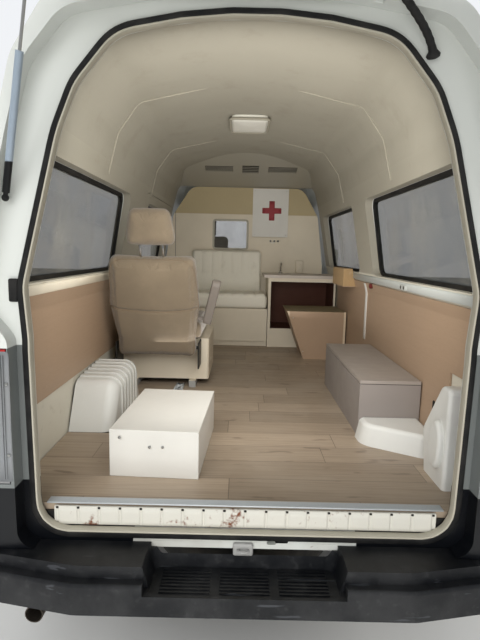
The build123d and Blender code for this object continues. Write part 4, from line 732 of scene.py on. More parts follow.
def make_metal(name, colour, roughness=0.35, rust=0.0, metallic=1.0):
    """Metal with a brushed grain and, where asked, rust in patches."""
    f = Finish(name)
    brush = f.noise(70, 4, 0.6, f.stretched((1, 8, 8)))
    tone = f.tinted(linear(colour), brush, 0.12)
    if rust:
        patch = (f.noise(8, 6, 0.68) * 0.7 + f.noise(60, 3) * 0.3).above(0.62 - rust * 0.2, 0.05)
        tone = f.mix(patch, tone, f.tinted(linear(SRGB["rust"]), f.noise(120, 3), 0.4))
        normal = f.bump(patch * f.noise(150, 4), 0.0012, 0.6)
        return f.finish(tone, roughness + patch * 0.4, normal, metallic=metallic - patch * metallic)
    return f.finish(tone, roughness + brush * 0.12, f.bump(brush, 0.0003, 0.3), metallic=metallic)


def make_glass():
    """Safety glass with dust that gathers in streaks, tinted dark round the load space."""
    f = Finish("window_glass")
    dark = 1 - f.axes[0].above(1.55, 0.01)
    film = f.noise(3.5, 6, 0.65, f.stretched((1, 1, 0.5))).above(0.55, 0.2)
    share = film * 0.10 + dark * 0.36 + 0.20
    tone = f.mix(dark, linear((0.36, 0.38, 0.37)), linear((0.13, 0.15, 0.14)))
    tone = f.mix(film * 0.7, tone, linear((0.58, 0.57, 0.53)))
    return f.finish(tone, 0.04 + film * 0.25, None, alpha=share, ior=1.45)


def make_lamp(name, stops, low=0.0, high=1.0):
    """Ribbed lens whose colour changes in bands up it, from stops of (share of the height, colour)."""
    f = Finish(name)
    pitch = 0.006
    share = (f.axes[2] - low) / (high - low)
    tone = linear(stops[0][1])
    for start, colour in stops[1:]:
        tone = f.mix(share.above(start, 0.004), tone, linear(colour))
    down, across = [((f.axes[k] / pitch).fraction() - 0.5).absolute() for k in (2, 1)]
    ribs = down + across
    return f.finish(tone, 0.12, f.bump(ribs, 0.002, 0.6), coat_weight=0.6)


def make_bumper():
    """Blue-black moulded bumper with a pebble grain, scuffs and road dust on its top faces."""
    f = Finish("bumper_plastic")
    tone = f.tinted(linear(SRGB["bumper"]), f.noise(6, 5, 0.6), 0.18)
    dust = f.noise(4, 7, 0.68).above(0.52, 0.14) * 0.12 + f.noise(40, 4, 0.6).above(0.62, 0.05) * 0.07
    tone = f.mix(dust, tone, linear((0.42, 0.42, 0.42)))
    scratch = f.noise(60, 3, 0.5, f.stretched((1, 0.08, 1))).above(0.69, 0.02)
    tone = f.mix(scratch * 0.35, tone, linear((0.34, 0.35, 0.37)))
    pebble = f.cells(650)
    return f.finish(tone, 0.48 + dust * 0.4, f.bump(pebble, 0.0006, 0.45))


def make_rubber():
    """Black rubber, slightly greyed by dust."""
    f = Finish("rubber")
    dust = f.noise(14, 5, 0.6)
    tone = f.mix(dust.above(0.52, 0.14) * 0.3, linear(SRGB["rubber"]), linear((0.24, 0.23, 0.22)))
    return f.finish(tone, 0.62 + dust * 0.15, f.bump(f.noise(400, 3), 0.0004, 0.4))


def make_tyre():
    """Tyre rubber, browned by dust."""
    f = Finish("tyre_rubber")
    dust = f.noise(9, 5, 0.6)
    tone = f.mix(dust.above(0.48, 0.16) * 0.5, linear((0.075, 0.073, 0.07)), linear((0.26, 0.235, 0.20)))
    return f.finish(tone, 0.78, f.bump(f.noise(300, 4), 0.0006, 0.5))


FINISHES = {}


def finishes():
    """All finishes by name, made once."""
    if not FINISHES:
        slanted_right, slanted_left = [corner.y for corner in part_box("slanted_box")]
        slanted_back, slanted_edge, pale_wood = (None, 2.4535), 0.016, ((0.84, 0.77, 0.66), True)
        FINISHES.update({
            "paint": make_paint("body_paint", SRGB["inner_white"]),
            "frame_paint": make_paint("frame_paint", SRGB["inner_white"], True),
            "headliner": make_headliner(),
            "planks": make_planks(),
            "trim_wood": make_trim_wood(),
            "cream_board": make_plastic("cream_board", SRGB["cream_board"], 0.36, 300, 0.0002, 0.06),
            "box_white": make_plastic("box_white", SRGB["box_white"], 0.4, 240, 0.0002, 0.05),
            "cloth": make_cloth(),
            "white_vinyl": make_vinyl("white_vinyl", SRGB["white_vinyl"]),
            "cab_vinyl": make_vinyl("cab_vinyl", (0.42, 0.39, 0.35)),
            "moulding": make_plastic("pale_moulding", SRGB["grey_moulding"], 0.34, 420, 0.0003, 0.12),
            "grey_plastic": make_plastic("grey_plastic", (0.42, 0.42, 0.42), 0.5),
            "black_plastic": make_plastic("black_plastic", (0.10, 0.10, 0.10), 0.45, 800, 0.0004, 0.12),
            "armrest": make_vinyl("armrest_skin", (0.45, 0.42, 0.39)),
            "cab_plastic": make_plastic("cab_plastic", (0.36, 0.35, 0.34), 0.55),
            "bumper": make_bumper(),
            "rubber": make_rubber(),
            "tyre": make_tyre(),
            "steel": make_metal("bright_steel", (0.78, 0.78, 0.77), 0.28),
            "aluminium": make_metal("sill_aluminium", (0.80, 0.82, 0.83), 0.45, 0.0, 0.15),
            "wheel": make_metal("wheel_steel", (0.66, 0.67, 0.68), 0.42, 0.25, 0.7),
            "strut": make_strut(),
            "bulkhead": make_zoned("bulkhead_board", SRGB["cream_board"], [
                (*zone_box(z=(1.793, None)), (0.72, 0.66, 0.52), False),
                (*zone_box(y=(0.647, 0.651)), (0.30, 0.27, 0.24), False),
                (*zone_box((None, BULKHEAD_FACE - 0.001), (-0.393, -0.063), (1.592, 2.03)),
                 SRGB["box_white"], False),
            ]),
            "cabinet": make_zoned("cabinet_board", SRGB["cream_board"], [
                (*zone_box((2.923, 3.36), (-0.765, -0.227), (0.802, 1.207)), (0.32, 0.19, 0.145), True),
                (*zone_box(z=(1.2385, None)), (0.78, 0.74, 0.70), False),
            ]),
            "slanted": make_zoned("slanted_board", (0.66, 0.56, 0.465), [
                (*zone_box(z=(1.009, None)), (0.54, 0.49, 0.38), True),
                (*zone_box(slanted_back, (slanted_left - slanted_edge, None)), *pale_wood),
                (*zone_box(slanted_back, (None, slanted_right + slanted_edge)), *pale_wood),
            ], 0.5),
            "locker": make_zoned("locker_board", (0.55, 0.52, 0.50), [
                (*zone_box(z=(0.884, None)), (0.60, 0.565, 0.535), True),
                (*zone_box(z=(0.8815, 0.8845)), (0.14, 0.12, 0.11), False),
            ], 0.4),
            "plinth": make_zoned("plinth_steel", SRGB["cream_board"], [
                (*zone_box(z=(None, 0.6805)), (0.62, 0.62, 0.61), False),
                # Painted shade: the plinth's rear face above 0.77 m made near black, as the shadow under the
                # seat.
                (*zone_box((None, 1.639), z=(0.77, None)), (0.09, 0.09, 0.09), False),
            ], 0.38),
            "overhead": make_overhead(),
            "bezel": make_plastic("lamp_bezel", (0.50, 0.51, 0.52), 0.42, 500, 0.0004, 0.25),
            "opening_trim": make_plastic("opening_trim", (0.70, 0.68, 0.62), 0.4, 300, 0.0002, 0.15),
            "sill_paint": make_metal("sill_paint", (0.80, 0.79, 0.75), 0.5, 0.04, 0.0),
            "lining_seam": make_plastic("lining_seam", (0.62, 0.60, 0.54), 0.6, 500, 0.0003, 0.1),
            "piping": make_plastic("piping", (0.47, 0.41, 0.335), 0.8, 900, 0.0003, 0.1),
            "striker": make_plastic("striker_paint", (0.62, 0.62, 0.61), 0.4, 600, 0.0003, 0.2),
            "pillar_grey": make_plastic("pillar_grey", (0.70, 0.71, 0.69), 0.42, 420, 0.0002, 0.08),
            "knob": make_plastic("knob_red", (0.38, 0.10, 0.09), 0.4, 600, 0.0002, 0.05),
            "chrome": make_metal("chrome", (0.86, 0.86, 0.86), 0.12),
            "chassis": make_metal("chassis_paint", (0.13, 0.125, 0.12), 0.7, 0.35, 0.0),
            "exhaust": make_metal("exhaust_steel", (0.36, 0.33, 0.30), 0.6, 0.2, 0.8),
            "engine": make_metal("engine_casting", (0.36, 0.35, 0.34), 0.7, 0.2, 0.5),
            "glass": make_glass(),
            "tail_lens": make_lamp("tail_lens", [(0, (0.50, 0.50, 0.50)), (0.30, (0.62, 0.10, 0.08)),
                                                 (0.66, (0.80, 0.42, 0.10)), (0.70, (0.62, 0.10, 0.08))],
                                   0.75, 1.16),
            "head_lens": make_lamp("head_lens", [(0, (0.84, 0.86, 0.87))]),
            "bar_lens": make_lamp("bar_lens", [(0, (0.60, 0.07, 0.07))]),
            "lamp_white": make_plastic("lamp_white", (0.88, 0.87, 0.83), 0.3, 200, 0.0002, 0.0),
            "red": make_plastic("plus_red", SRGB["plus_red"], 0.5, 500, 0.0002, 0.05),
            # Painted shade: near black plastic laid in holes, slots and gaps that would be in shadow.
            "dark": make_plastic("painted_recess_shade", (0.05, 0.05, 0.05), 0.8),
        })
    return FINISHES


def read(items, key, width=1, kind=float):
    """Array of one property of a mesh's points, corners or faces: a row of that width for each."""
    values = np.empty(len(items) * width, kind)
    items.foreach_get(key, values)
    return values.reshape(-1, width) if width > 1 else values


def turn_outwards(mesh):
    """Merges doubled points and turns the faces outwards."""
    work = bmesh.new()
    work.from_mesh(mesh)
    bmesh.ops.remove_doubles(work, verts=work.verts, dist=1e-6)
    bmesh.ops.recalc_face_normals(work, faces=work.faces)
    work.to_mesh(mesh)
    work.free()


def add_piece(name, shape, finish, body="root", replaces=(), smooth=True, uv=None):
    """A new mesh from a shape, with its finish, that rides on a body unless that is None.

    uv is (n, 2) by vertex."""
    vertices, faces = shape
    mesh = bpy.data.meshes.new(name)
    if faces.shape[1] == 4 and (faces < 0).any():
        rows = [row[row >= 0].tolist() for row in faces]
    else:
        rows = faces.tolist()
    mesh.from_pydata(vertices.tolist(), [], rows)
    mesh.polygons.foreach_set("use_smooth", np.full(len(mesh.polygons), smooth))
    if uv is not None:
        layer = mesh.uv_layers.new(name="UVMap")
        layer.data.foreach_set("uv", np.asarray(uv, float)[read(mesh.loops, "vertex_index", 1, int)].ravel())
    mesh.update()
    turn_outwards(mesh)
    piece = bpy.data.objects.new(name, mesh)
    bpy.context.scene.collection.objects.link(piece)
    mesh.materials.append(finishes()[finish])
    if body:
        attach(piece, body)
    if replaces:
        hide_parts(*replaces)
    return piece


def evaluated(piece):
    """New mesh of a piece as its modifiers leave it."""
    return bpy.data.meshes.new_from_object(piece.evaluated_get(bpy.context.evaluated_depsgraph_get()))


def inflate(piece, cap):
    """Swells a pad as cloth under pressure, keeping each point within cap of where it was."""
    scene = bpy.context.scene
    remesh = piece.modifiers.new("remesh", "REMESH")
    remesh.mode, remesh.voxel_size = "VOXEL", 0.005
    cloth = piece.modifiers.new("cloth", "CLOTH")
    cloth.settings.use_pressure = True
    cloth.settings.uniform_pressure_force = 4.0
    cloth.settings.effector_weights.gravity = 0
    depsgraph = bpy.context.evaluated_depsgraph_get()
    cloth.show_viewport = False
    depsgraph.update()
    before = read(evaluated(piece).vertices, "co", 3)
    cloth.show_viewport = True
    for step in range(1, 21):
        scene.frame_set(step)
    swollen = evaluated(piece)
    shift = read(swollen.vertices, "co", 3) - before
    length = np.linalg.norm(shift, axis=1, keepdims=True)
    shift = shift * np.minimum(1, cap / np.maximum(length, 1e-9))
    swollen.vertices.foreach_set("co", (before + shift).ravel())
    piece.modifiers.clear()
    piece.data = swollen
    scene.frame_set(1)
    return piece


def cloth_map(piece):
    """Maps each face by the two axes it lies along, in metres."""
    mesh = piece.data
    layer = mesh.uv_layers.get("UVMap") or mesh.uv_layers.new(name="UVMap")
    normal, count = read(mesh.polygons, "normal", 3), read(mesh.polygons, "loop_total", 1, int)
    facing_axis = np.repeat(np.abs(normal).argmax(1), count)
    at = read(mesh.vertices, "co", 3)[read(mesh.loops, "vertex_index", 1, int)]
    pairs = np.array([(1, 2), (0, 2), (1, 0)])[facing_axis]
    rows = np.arange(len(at))
    layer.data.foreach_set("uv", np.stack([at[rows, pairs[:, 0]], at[rows, pairs[:, 1]]], 1).ravel())


def block_at_swollen(stations, y, z, radius, swell):
    """Rounded block of a cushion, fine enough for its crown."""
    low, high = place(stations[0], y[0], z[0]), place(stations[1], y[1], z[1])
    cells = np.maximum(3, ((high - low) / 0.035).astype(int))
    return rounded_block(low, high, radius, cells, 4, swell)


def dress(finish, *nodes):
    """Gives CAD nodes a finish in place of their plain ones."""
    for node in nodes:
        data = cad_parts[node].data
        data.materials.clear()
        data.materials.append(finishes()[finish])


class AMBULANCE_OT_dress_frame(bpy.types.Operator):
    """Give every carried-over node its finish"""

    bl_idname = "ambulance.dress_frame"
    bl_label = "Dress Frame"

    def execute(self, context):
        dress("frame_paint", "rear_frame", "tailgate")
        dress("paint", "left_body_side", "right_body_side", "front_panel", "left_front_door",
              "right_front_door", "sliding_door")
        dress("headliner", "roof_shell")
        dress("moulding", "moulded_covers")
        dress("planks", "load_floor")
        dress("trim_wood", "trim_panels")
        dress("slanted", "slanted_box")
        dress("locker", "panel_locker")
        dress("bulkhead", "bulkhead")
        dress("cabinet", "side_cabinet")
        dress("plinth", "seat_plinth")
        dress("overhead", "ceiling_fittings")
        dress("cream_board", "bench_base")
        dress("box_white", "white_box")
        dress("white_vinyl", "bench_cushions")
        dress("cloth", "seat_cushion", "seat_back")
        dress("cab_vinyl", "cab_seats")
        dress("armrest", "armrest")
        dress("cab_plastic", "dashboard", "steering_wheel")
        dress("bumper", "rear_bumper", "front_bumper")
        dress("rubber", "rubber_seals")
        dress("glass", "fixed_glass", "left_front_door_glass", "right_front_door_glass", "tailgate_glass")
        dress("tail_lens", "tail_lamps")
        dress("head_lens", "headlamps")
        dress("bar_lens", "light_bar")
        dress("strut", "left_strut_cylinder", "right_strut_cylinder")
        dress("steel", "left_strut_rod", "right_strut_rod")
        dress("chassis", "floor_pan", "frame_rails", "frame_members", "front_suspension", "fuel_tank",
              "rear_axle", "left_knuckle", "right_knuckle")
        dress("engine", "engine")
        dress("exhaust", "exhaust")
        dress("tyre", "spare_wheel")
        for wheel in ("front_left", "front_right", "rear_left", "rear_right"):
            dress("tyre", f"{wheel}_tyre")
            dress("wheel", f"{wheel}_rim")
        return {"FINISHED"}


class AMBULANCE_OT_opening(bpy.types.Operator):
    """Trim the rear opening, with its seal, sill, latch, lamp bezels and wiring boot"""

    bl_idname = "ambulance.opening"
    bl_label = "Rear Opening"

    def execute(self, context):
        path = opening_path()
        lip = rounded_outline([(0.003, -0.013, 0.004), (0.021, -0.011, 0.004), (0.021, 0.001, 0.001),
                               (0.003, 0.001, 0.001)], 4)
        add_piece("opening_seal_lip", carried(lip, path, (1, 0, 0)), "rubber")
        section = rounded_rectangle((-0.002, 0.004), (-0.010, 0.020), 0.0015, 3)
        add_piece("opening_trim", carried(section, path, (1, 0, 0)), "opening_trim")
        self.sill()
        self.latch()
        for side, name in ((1, "left"), (-1, "right")):
            self.bezel(side, name)
            stop = block_at((0.180, 0.200), (side * 0.700, side * 0.728), (1.292, 1.362), 0.006, (2, 2, 4), 3)
            add_piece(f"{name}_bump_stop", stop, "rubber")
        self.boot()
        return {"FINISHED"}

    def sill(self):
        """Ribbed aluminium threshold, and the corrugated painted sill under it."""
        rib, ribs, depth, half, station, z = 0.0015, 6, 0.036, 0.640, 0.200, 0.6425
        steps = np.linspace(0, 1, 6 * ribs + 1)
        top = np.stack([depth * steps, rib * np.sin(2 * math.pi * ribs * steps) ** 2 + rib], 1)
        profile = np.vstack([[(0.0, -0.0020)], top, [(depth, -0.0020)]])[::-1]
        strip = bar(place(station, -half, z), place(station, half, z), profile)
        add_piece("threshold", strip, "aluminium")
        pitch, sill_half = 0.067, 0.612
        y = np.linspace(-sill_half, sill_half, 560)
        phase = np.abs((y / pitch) % 1 - 0.5) * 2
        fold = np.clip((phase - 0.84) * 12, 0, 1)
        z = np.array([0.5755, 0.5775, 0.590, 0.616, 0.636, 0.638])
        share = np.array([0.0, 1.0, 1.0, 1.0, 1.0, 0.0])
        wave = 0.0030 - fold * 0.0040
        back = np.stack([np.full_like(z, 0.1965), z], 1)[::-1]
        points = np.empty((len(y), 2 * len(z), 3))
        points[:, :len(z), 0] = 0.1900 - share * wave[:, None] - ORIGIN_STATION
        points[:, len(z):, 0] = back[:, 0] - ORIGIN_STATION
        points[:, :, 1] = y[:, None]
        points[:, :len(z), 2], points[:, len(z):, 2] = z, back[:, 1]
        shape, quads = grid(points, wrap_columns=True)
        ring = np.arange(2 * len(z))
        fans = []
        for first in (0, len(shape) - 2 * len(z)):
            fans.append(np.stack([np.full(len(ring) - 2, first), first + ring[1:-1], first + ring[2:]], 1))
        add_piece("corrugated_sill", joined_fans(shape, quads, fans), "sill_paint")
        count = int(sill_half / pitch)
        # Painted shade: dark blocks in the gaps at the top of each fold.
        gap_shades = [block_at((0.1862, 0.1900), (mid - 0.004, mid + 0.004), (0.630, 0.6365), 0.0015, (1, 1, 2))
                for mid in pitch * np.arange(-count, count + 1)]
        add_piece("sill_gap_shades", joined(*gap_shades), "dark")

    def latch(self):
        """Striker with a steel loop on the lower panel, and painted shade as the slot beside it."""
        body = rounded_block(place(0.152, -0.027, 0.500), place(0.1665, 0.037, 0.542), 0.0072, (3, 6, 4), 4)
        angle, reach = np.linspace(0, math.pi, 13), 0.016
        turn = np.stack([-np.sin(angle), np.cos(angle), np.zeros(len(angle))], 1)
        loop = place(0.150, 0.005, 0.524) + reach * turn
        shape = joined(body, carried(circle(0.004, 10), loop, (0, 0, 1), closed=False))
        add_piece("latch_striker", shape, "striker")
        # Painted shade: a dark plate where the slot opens.
        ring = upright(rounded_rectangle((-0.138, -0.096), (0.540, 0.554), 0.006, 5), 0.1668)
        add_piece("sill_slot_shade", plate(ring[::-1], 0.0014, 0.0, 2), "dark")

    def bezel(self, side, name):
        """Grey inner flange of a tail lamp, with two ribs and two screws."""
        corners = [(0.702, 0.756, 0.008), (0.744, 0.756, 0.008), (0.744, 1.154, 0.012), (0.702, 1.154, 0.012)]
        rows = rounded_outline([(side * y, z, r) for y, z, r in corners], 5)[::side]
        outline = upright(rows, np.interp(rows[:, 1], REAR_HEIGHTS, REAR_STATIONS) - 0.0005)
        shape = plate(outline, 0.0035, 0.0, 3)
        add_piece(f"{name}_lamp_bezel", shape, "bezel")
        rib = [block_at((0.1045, 0.110), (side * y, side * (y + 0.0022)), (0.764, 1.146), 0.001, (1, 1, 6), 2)
               for y in (0.7175, 0.7245)]
        screws = []
        for z in (0.841, 1.058):
            rear = np.interp(z, REAR_HEIGHTS, REAR_STATIONS)
            screws.append(disc(place(rear - 0.003, side * 0.7105, z), 0.0045, -0.0030))
        add_piece(f"{name}_bezel_ribs", joined(*rib), "bezel")
        add_piece(f"{name}_bezel_screws", joined(*screws), "steel")

    def boot(self):
        """Rubber boot over the tailgate's wiring, faintly ribbed."""
        share = np.linspace(0, 1, 41)
        ends = np.array([(0.277, -0.528, 2.046), (0.236, -0.505, 2.098), (0.205, -0.430, 2.150),
                         (0.196, -0.392, 2.190)])
        rest = 1 - share
        weights = np.stack([rest ** 3, 3 * share * rest ** 2, 3 * share ** 2 * rest, share ** 3], 1)
        path = weights @ ends - (ORIGIN_STATION, 0, 0)
        tangent, sideways = loop_frames(path, (1, 0, 0), closed=False)
        up = np.cross(sideways, tangent)
        flare = 0.009 * np.exp(-((share - 0.02) / 0.05) ** 2)
        radius = 0.0115 + 0.0006 * np.sin(share * 2 * math.pi * 10) + flare
        angle = np.linspace(0, 2 * math.pi, 16, endpoint=False)
        ring = (np.cos(angle)[None, :, None] * sideways[:, None] + np.sin(angle)[None, :, None] * up[:, None])
        tube = grid(path[:, None] + radius[:, None, None] * ring, wrap_columns=True)
        shape = capped(*tube, len(angle), path[[0, -1]])
        boot = add_piece("harness_boot", shape, "rubber", None)
        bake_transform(boot)


class AMBULANCE_OT_bulkhead(bpy.types.Operator):
    """Fit the bulkhead's window frame, plus sign, sockets, switch box and tap"""

    bl_idname = "ambulance.bulkhead"
    bl_label = "Bulkhead Fittings"

    def execute(self, context):
        face = BULKHEAD_FACE
        path = upright(rounded_rectangle((-0.018, 0.292), (1.478, 1.736), 0.02, 5), face)
        section = rounded_outline([(-0.006, -0.006, 0.003), (0.012, -0.006, 0.003), (0.012, 0.004, 0.002),
                                   (-0.006, 0.004, 0.002)], 3)
        gasket = carried(section, path, (1, 0, 0))
        add_piece("bulkhead_window_frame", gasket, "opening_trim")
        pane = block_at((face + 0.006, face + 0.011), (-0.019, 0.293), (1.477, 1.737), 0.001)
        add_piece("bulkhead_glass", pane, "glass")
        self.plus_sign(face - 0.012)
        self.sockets(face - 0.020)
        box = block_at((face - 0.030, face + 0.001), (-0.545, -0.478), (1.264, 1.380), 0.006, (2, 3, 3), 3)
        rocker = block_at((face - 0.035, face - 0.028), (-0.527, -0.496), (1.296, 1.350), 0.003, (2, 3, 3), 2)
        add_piece("switch_box", joined(box, rocker), "cream_board")
        self.tap(face - 0.055)
        return {"FINISHED"}

    def plus_sign(self, station):
        """Plain medical plus with eased arm ends, on the white board."""
        reach, half, ease = 0.088, 0.0255, 0.005
        quarter = [(half, half, 0.001), (half, reach, ease), (-half, reach, ease)]
        rows = []
        for turn in range(4):
            c, s = math.cos(turn * math.pi / 2), math.sin(turn * math.pi / 2)
            rows += [(c * a - s * b, s * a + c * b, r) for a, b, r in quarter]
        flat = rounded_outline(rows, 4)
        outline = upright(flat, station) + (0, -0.240, 1.830)
        flat_plate = plate(outline[::-1], 0.0016, 0.0, 2)
        add_piece("plus_sign", flat_plate, "red")
        screws = [disc(place(station, y, z), 0.004, -0.002) for y in (-0.372, -0.084) for z in (1.612, 2.008)]
        add_piece("board_screws", joined(*screws), "steel")

    def sockets(self, station):
        """Three small gas sockets with painted shade as their bores, and a bare white plate under them."""
        z, spots = 1.555, (-0.235, -0.270, -0.305)
        section = [(0.002, 0.0105), (-0.003, 0.0105), (-0.004, 0.0090), (-0.004, 0.0070), (-0.001, 0.0062),
                   (-0.001, POLE)]
        rims = [turned_profile(section, 24, "x", place(station, y, z)) for y in spots]
        add_piece("gas_sockets", joined(*rims), "steel")
        # Painted shade: dark discs in the bores.
        hole_shades = [disc(place(station - 0.001, y, z), 0.0060, -0.0012) for y in spots]
        add_piece("socket_bore_shades", joined(*hole_shades), "dark")
        label = block_at((station - 0.003, station + 0.001), (-0.275, -0.235), (1.5345, 1.5425), 0.001)
        add_piece("bare_plate", label, "lamp_white")

    def tap(self, station):
        """Small swan-neck tap on the counter."""
        y, top, bend = -0.335, 1.330, 0.030
        angle = np.linspace(0, math.pi * 0.95, 15)
        neck = np.stack([station - bend + bend * np.cos(angle), np.full_like(angle, y),
                         top + bend * np.sin(angle)], 1)
        route = np.vstack([[(station, y, 1.262)], neck]) - (ORIGIN_STATION, 0, 0)
        foot = [(1.261, 0.024), (1.266, 0.024), (1.272, 0.014), (1.284, 0.0125), (1.286, POLE)]
        parts = [carried(circle(0.0075, 12), route, (0, 1, 0), closed=False),
                 turned_profile(foot, 24, "z", place(station, y, 0))]
        add_piece("tap", joined(*parts), "chrome")


class AMBULANCE_OT_walls(bpy.types.Operator):
    """Fit the strips, sockets, lamps and clips along walls and ceiling"""

    bl_idname = "ambulance.walls"
    bl_label = "Walls And Ceiling"

    def execute(self, context):
        # Strips under the windows: name, side, stations
        for name, side, stations in (("left", 1, (0.300, 2.130)), ("right", -1, (0.300, 2.920))):
            low, high = 1.283, 1.322
            path = np.array([place(s, side * wall_half(low), low) for s in stations])
            lean = side * (wall_half(high) - wall_half(low))
            top = high - low
            profile = [(0.001, 0.0), (-0.013, 0.002), (-0.013, 0.030), (lean * side - 0.004, top),
                       (0.001, top)]
            turn = np.array(profile) * (-side, 1)
            tone = "cream_board" if side > 0 else "pillar_grey"
            add_piece(f"{name}_window_sill", bar(path[0], path[1], turn), tone)
        self.seam()
        face = -0.7605
        plate_at = block_at((1.086, 1.174), (-0.780, face), (1.2855, 1.3125), 0.004, (3, 2, 2), 3)
        # Painted shade: dark discs as the plate's two bores.
        hole_shades = [disc(place(s, face, 1.299), 0.0085, 0.0015, "y") for s in (1.108, 1.152)]
        knob = disc(place(1.760, -0.785, 1.262), 0.016, 0.022, "y")
        add_piece("wall_knob", knob, "knob")
        add_piece("wall_socket_plate", plate_at, "pillar_grey")
        add_piece("wall_socket_bore_shades", joined(*hole_shades), "dark")
        # Painted shade: a dark plate as the oval slot in the wall.
        oval = rounded_rectangle((0.700, 0.727), (0.790, 0.856), 0.012)
        ring = np.stack([oval[:, 0] - ORIGIN_STATION, np.full(len(oval), -0.7905), oval[:, 1]], 1)
        add_piece("wall_slot_shade", plate(ring, 0.0015, 0.0, 2), "dark")
        self.ceiling()
        self.screws()
        return {"FINISHED"}

    def seam(self):
        """White strip over the joint of the right wall's boards."""
        heights = np.linspace(0.905, 1.270, 12)
        half = wall_half(heights) - 0.0125
        strip = np.stack([np.full_like(heights, 1.9075 - ORIGIN_STATION), -half, heights], 1)
        section = rounded_outline([(-0.023, -0.001, 0.0008), (0.023, -0.001, 0.0008), (0.023, 0.002, 0.0012),
                                   (-0.023, 0.002, 0.0012)], 3)
        cover = carried(section, strip, (0, 1, 0), closed=False)
        add_piece("wall_seam_strip", cover, "box_white")

    def ceiling(self):
        """Lamp lens with its rim, seams across the lining, a clip near the opening."""
        rows = even(rounded_rectangle((1.626, 1.944), (-0.112, 0.112), 0.03), 80)
        path = level(rows, 2.199)
        rim = carried(circle(0.008, 10), path, (0, 0, 1))
        add_piece("lamp_rim", rim, "lining_seam")
        inner = level(rows, 2.1985)
        centre = inner.mean(0)
        lens = plate((centre + (inner - centre) * 0.93)[::-1], 0.004, 0.010, 6)
        add_piece("lamp_lens", lens, "lamp_white")
        clip = joined(block_at((0.560, 0.610), (-0.026, 0.014), (2.236, 2.252), 0.004, (2, 2, 2), 3),
                      block_at((0.572, 0.598), (-0.016, 0.004), (2.226, 2.240), 0.004, (2, 2, 2), 3))
        add_piece("ceiling_clip", clip, "grey_plastic")
        half = np.stack([WALL_HALVES[4:], WALL_HEIGHTS[4:]], 1)
        arch = np.vstack([half, half[-2::-1] * (-1, 1)])
        fine, at = np.linspace(0, 1, 60), np.linspace(0, 1, len(arch))
        arch = np.stack([np.interp(fine, at, column) for column in arch.T], 1) * (0.998, 1) - (0, 0.002)
        for name, station in (("rear", 1.150), ("middle", 2.250)):
            seam = carried(circle(0.0035, 8), upright(arch, station), (1, 0, 0), closed=False)
            add_piece(f"{name}_lining_seam", seam, "lining_seam")

    def screws(self):
        """Screw heads on the white box and the slanted box."""
        # Station, radius and height of the heads, then y and height of each
        boxes = ((0.3925, 0.0052, 0.0018, ((0.345, 0.756), (0.298, 0.757), (0.452, 0.790), (0.182, 0.786))),
                 (2.4515, 0.0042, 0.0016,
                  ((-0.460, 0.700), (-0.375, 0.960), (-0.768, 0.700), (-0.768, 0.960))))
        heads = [disc(place(station, y, z), radius, -height) for station, radius, height, spots in boxes
                 for y, z in spots]
        add_piece("panel_screws", joined(*heads), "steel")


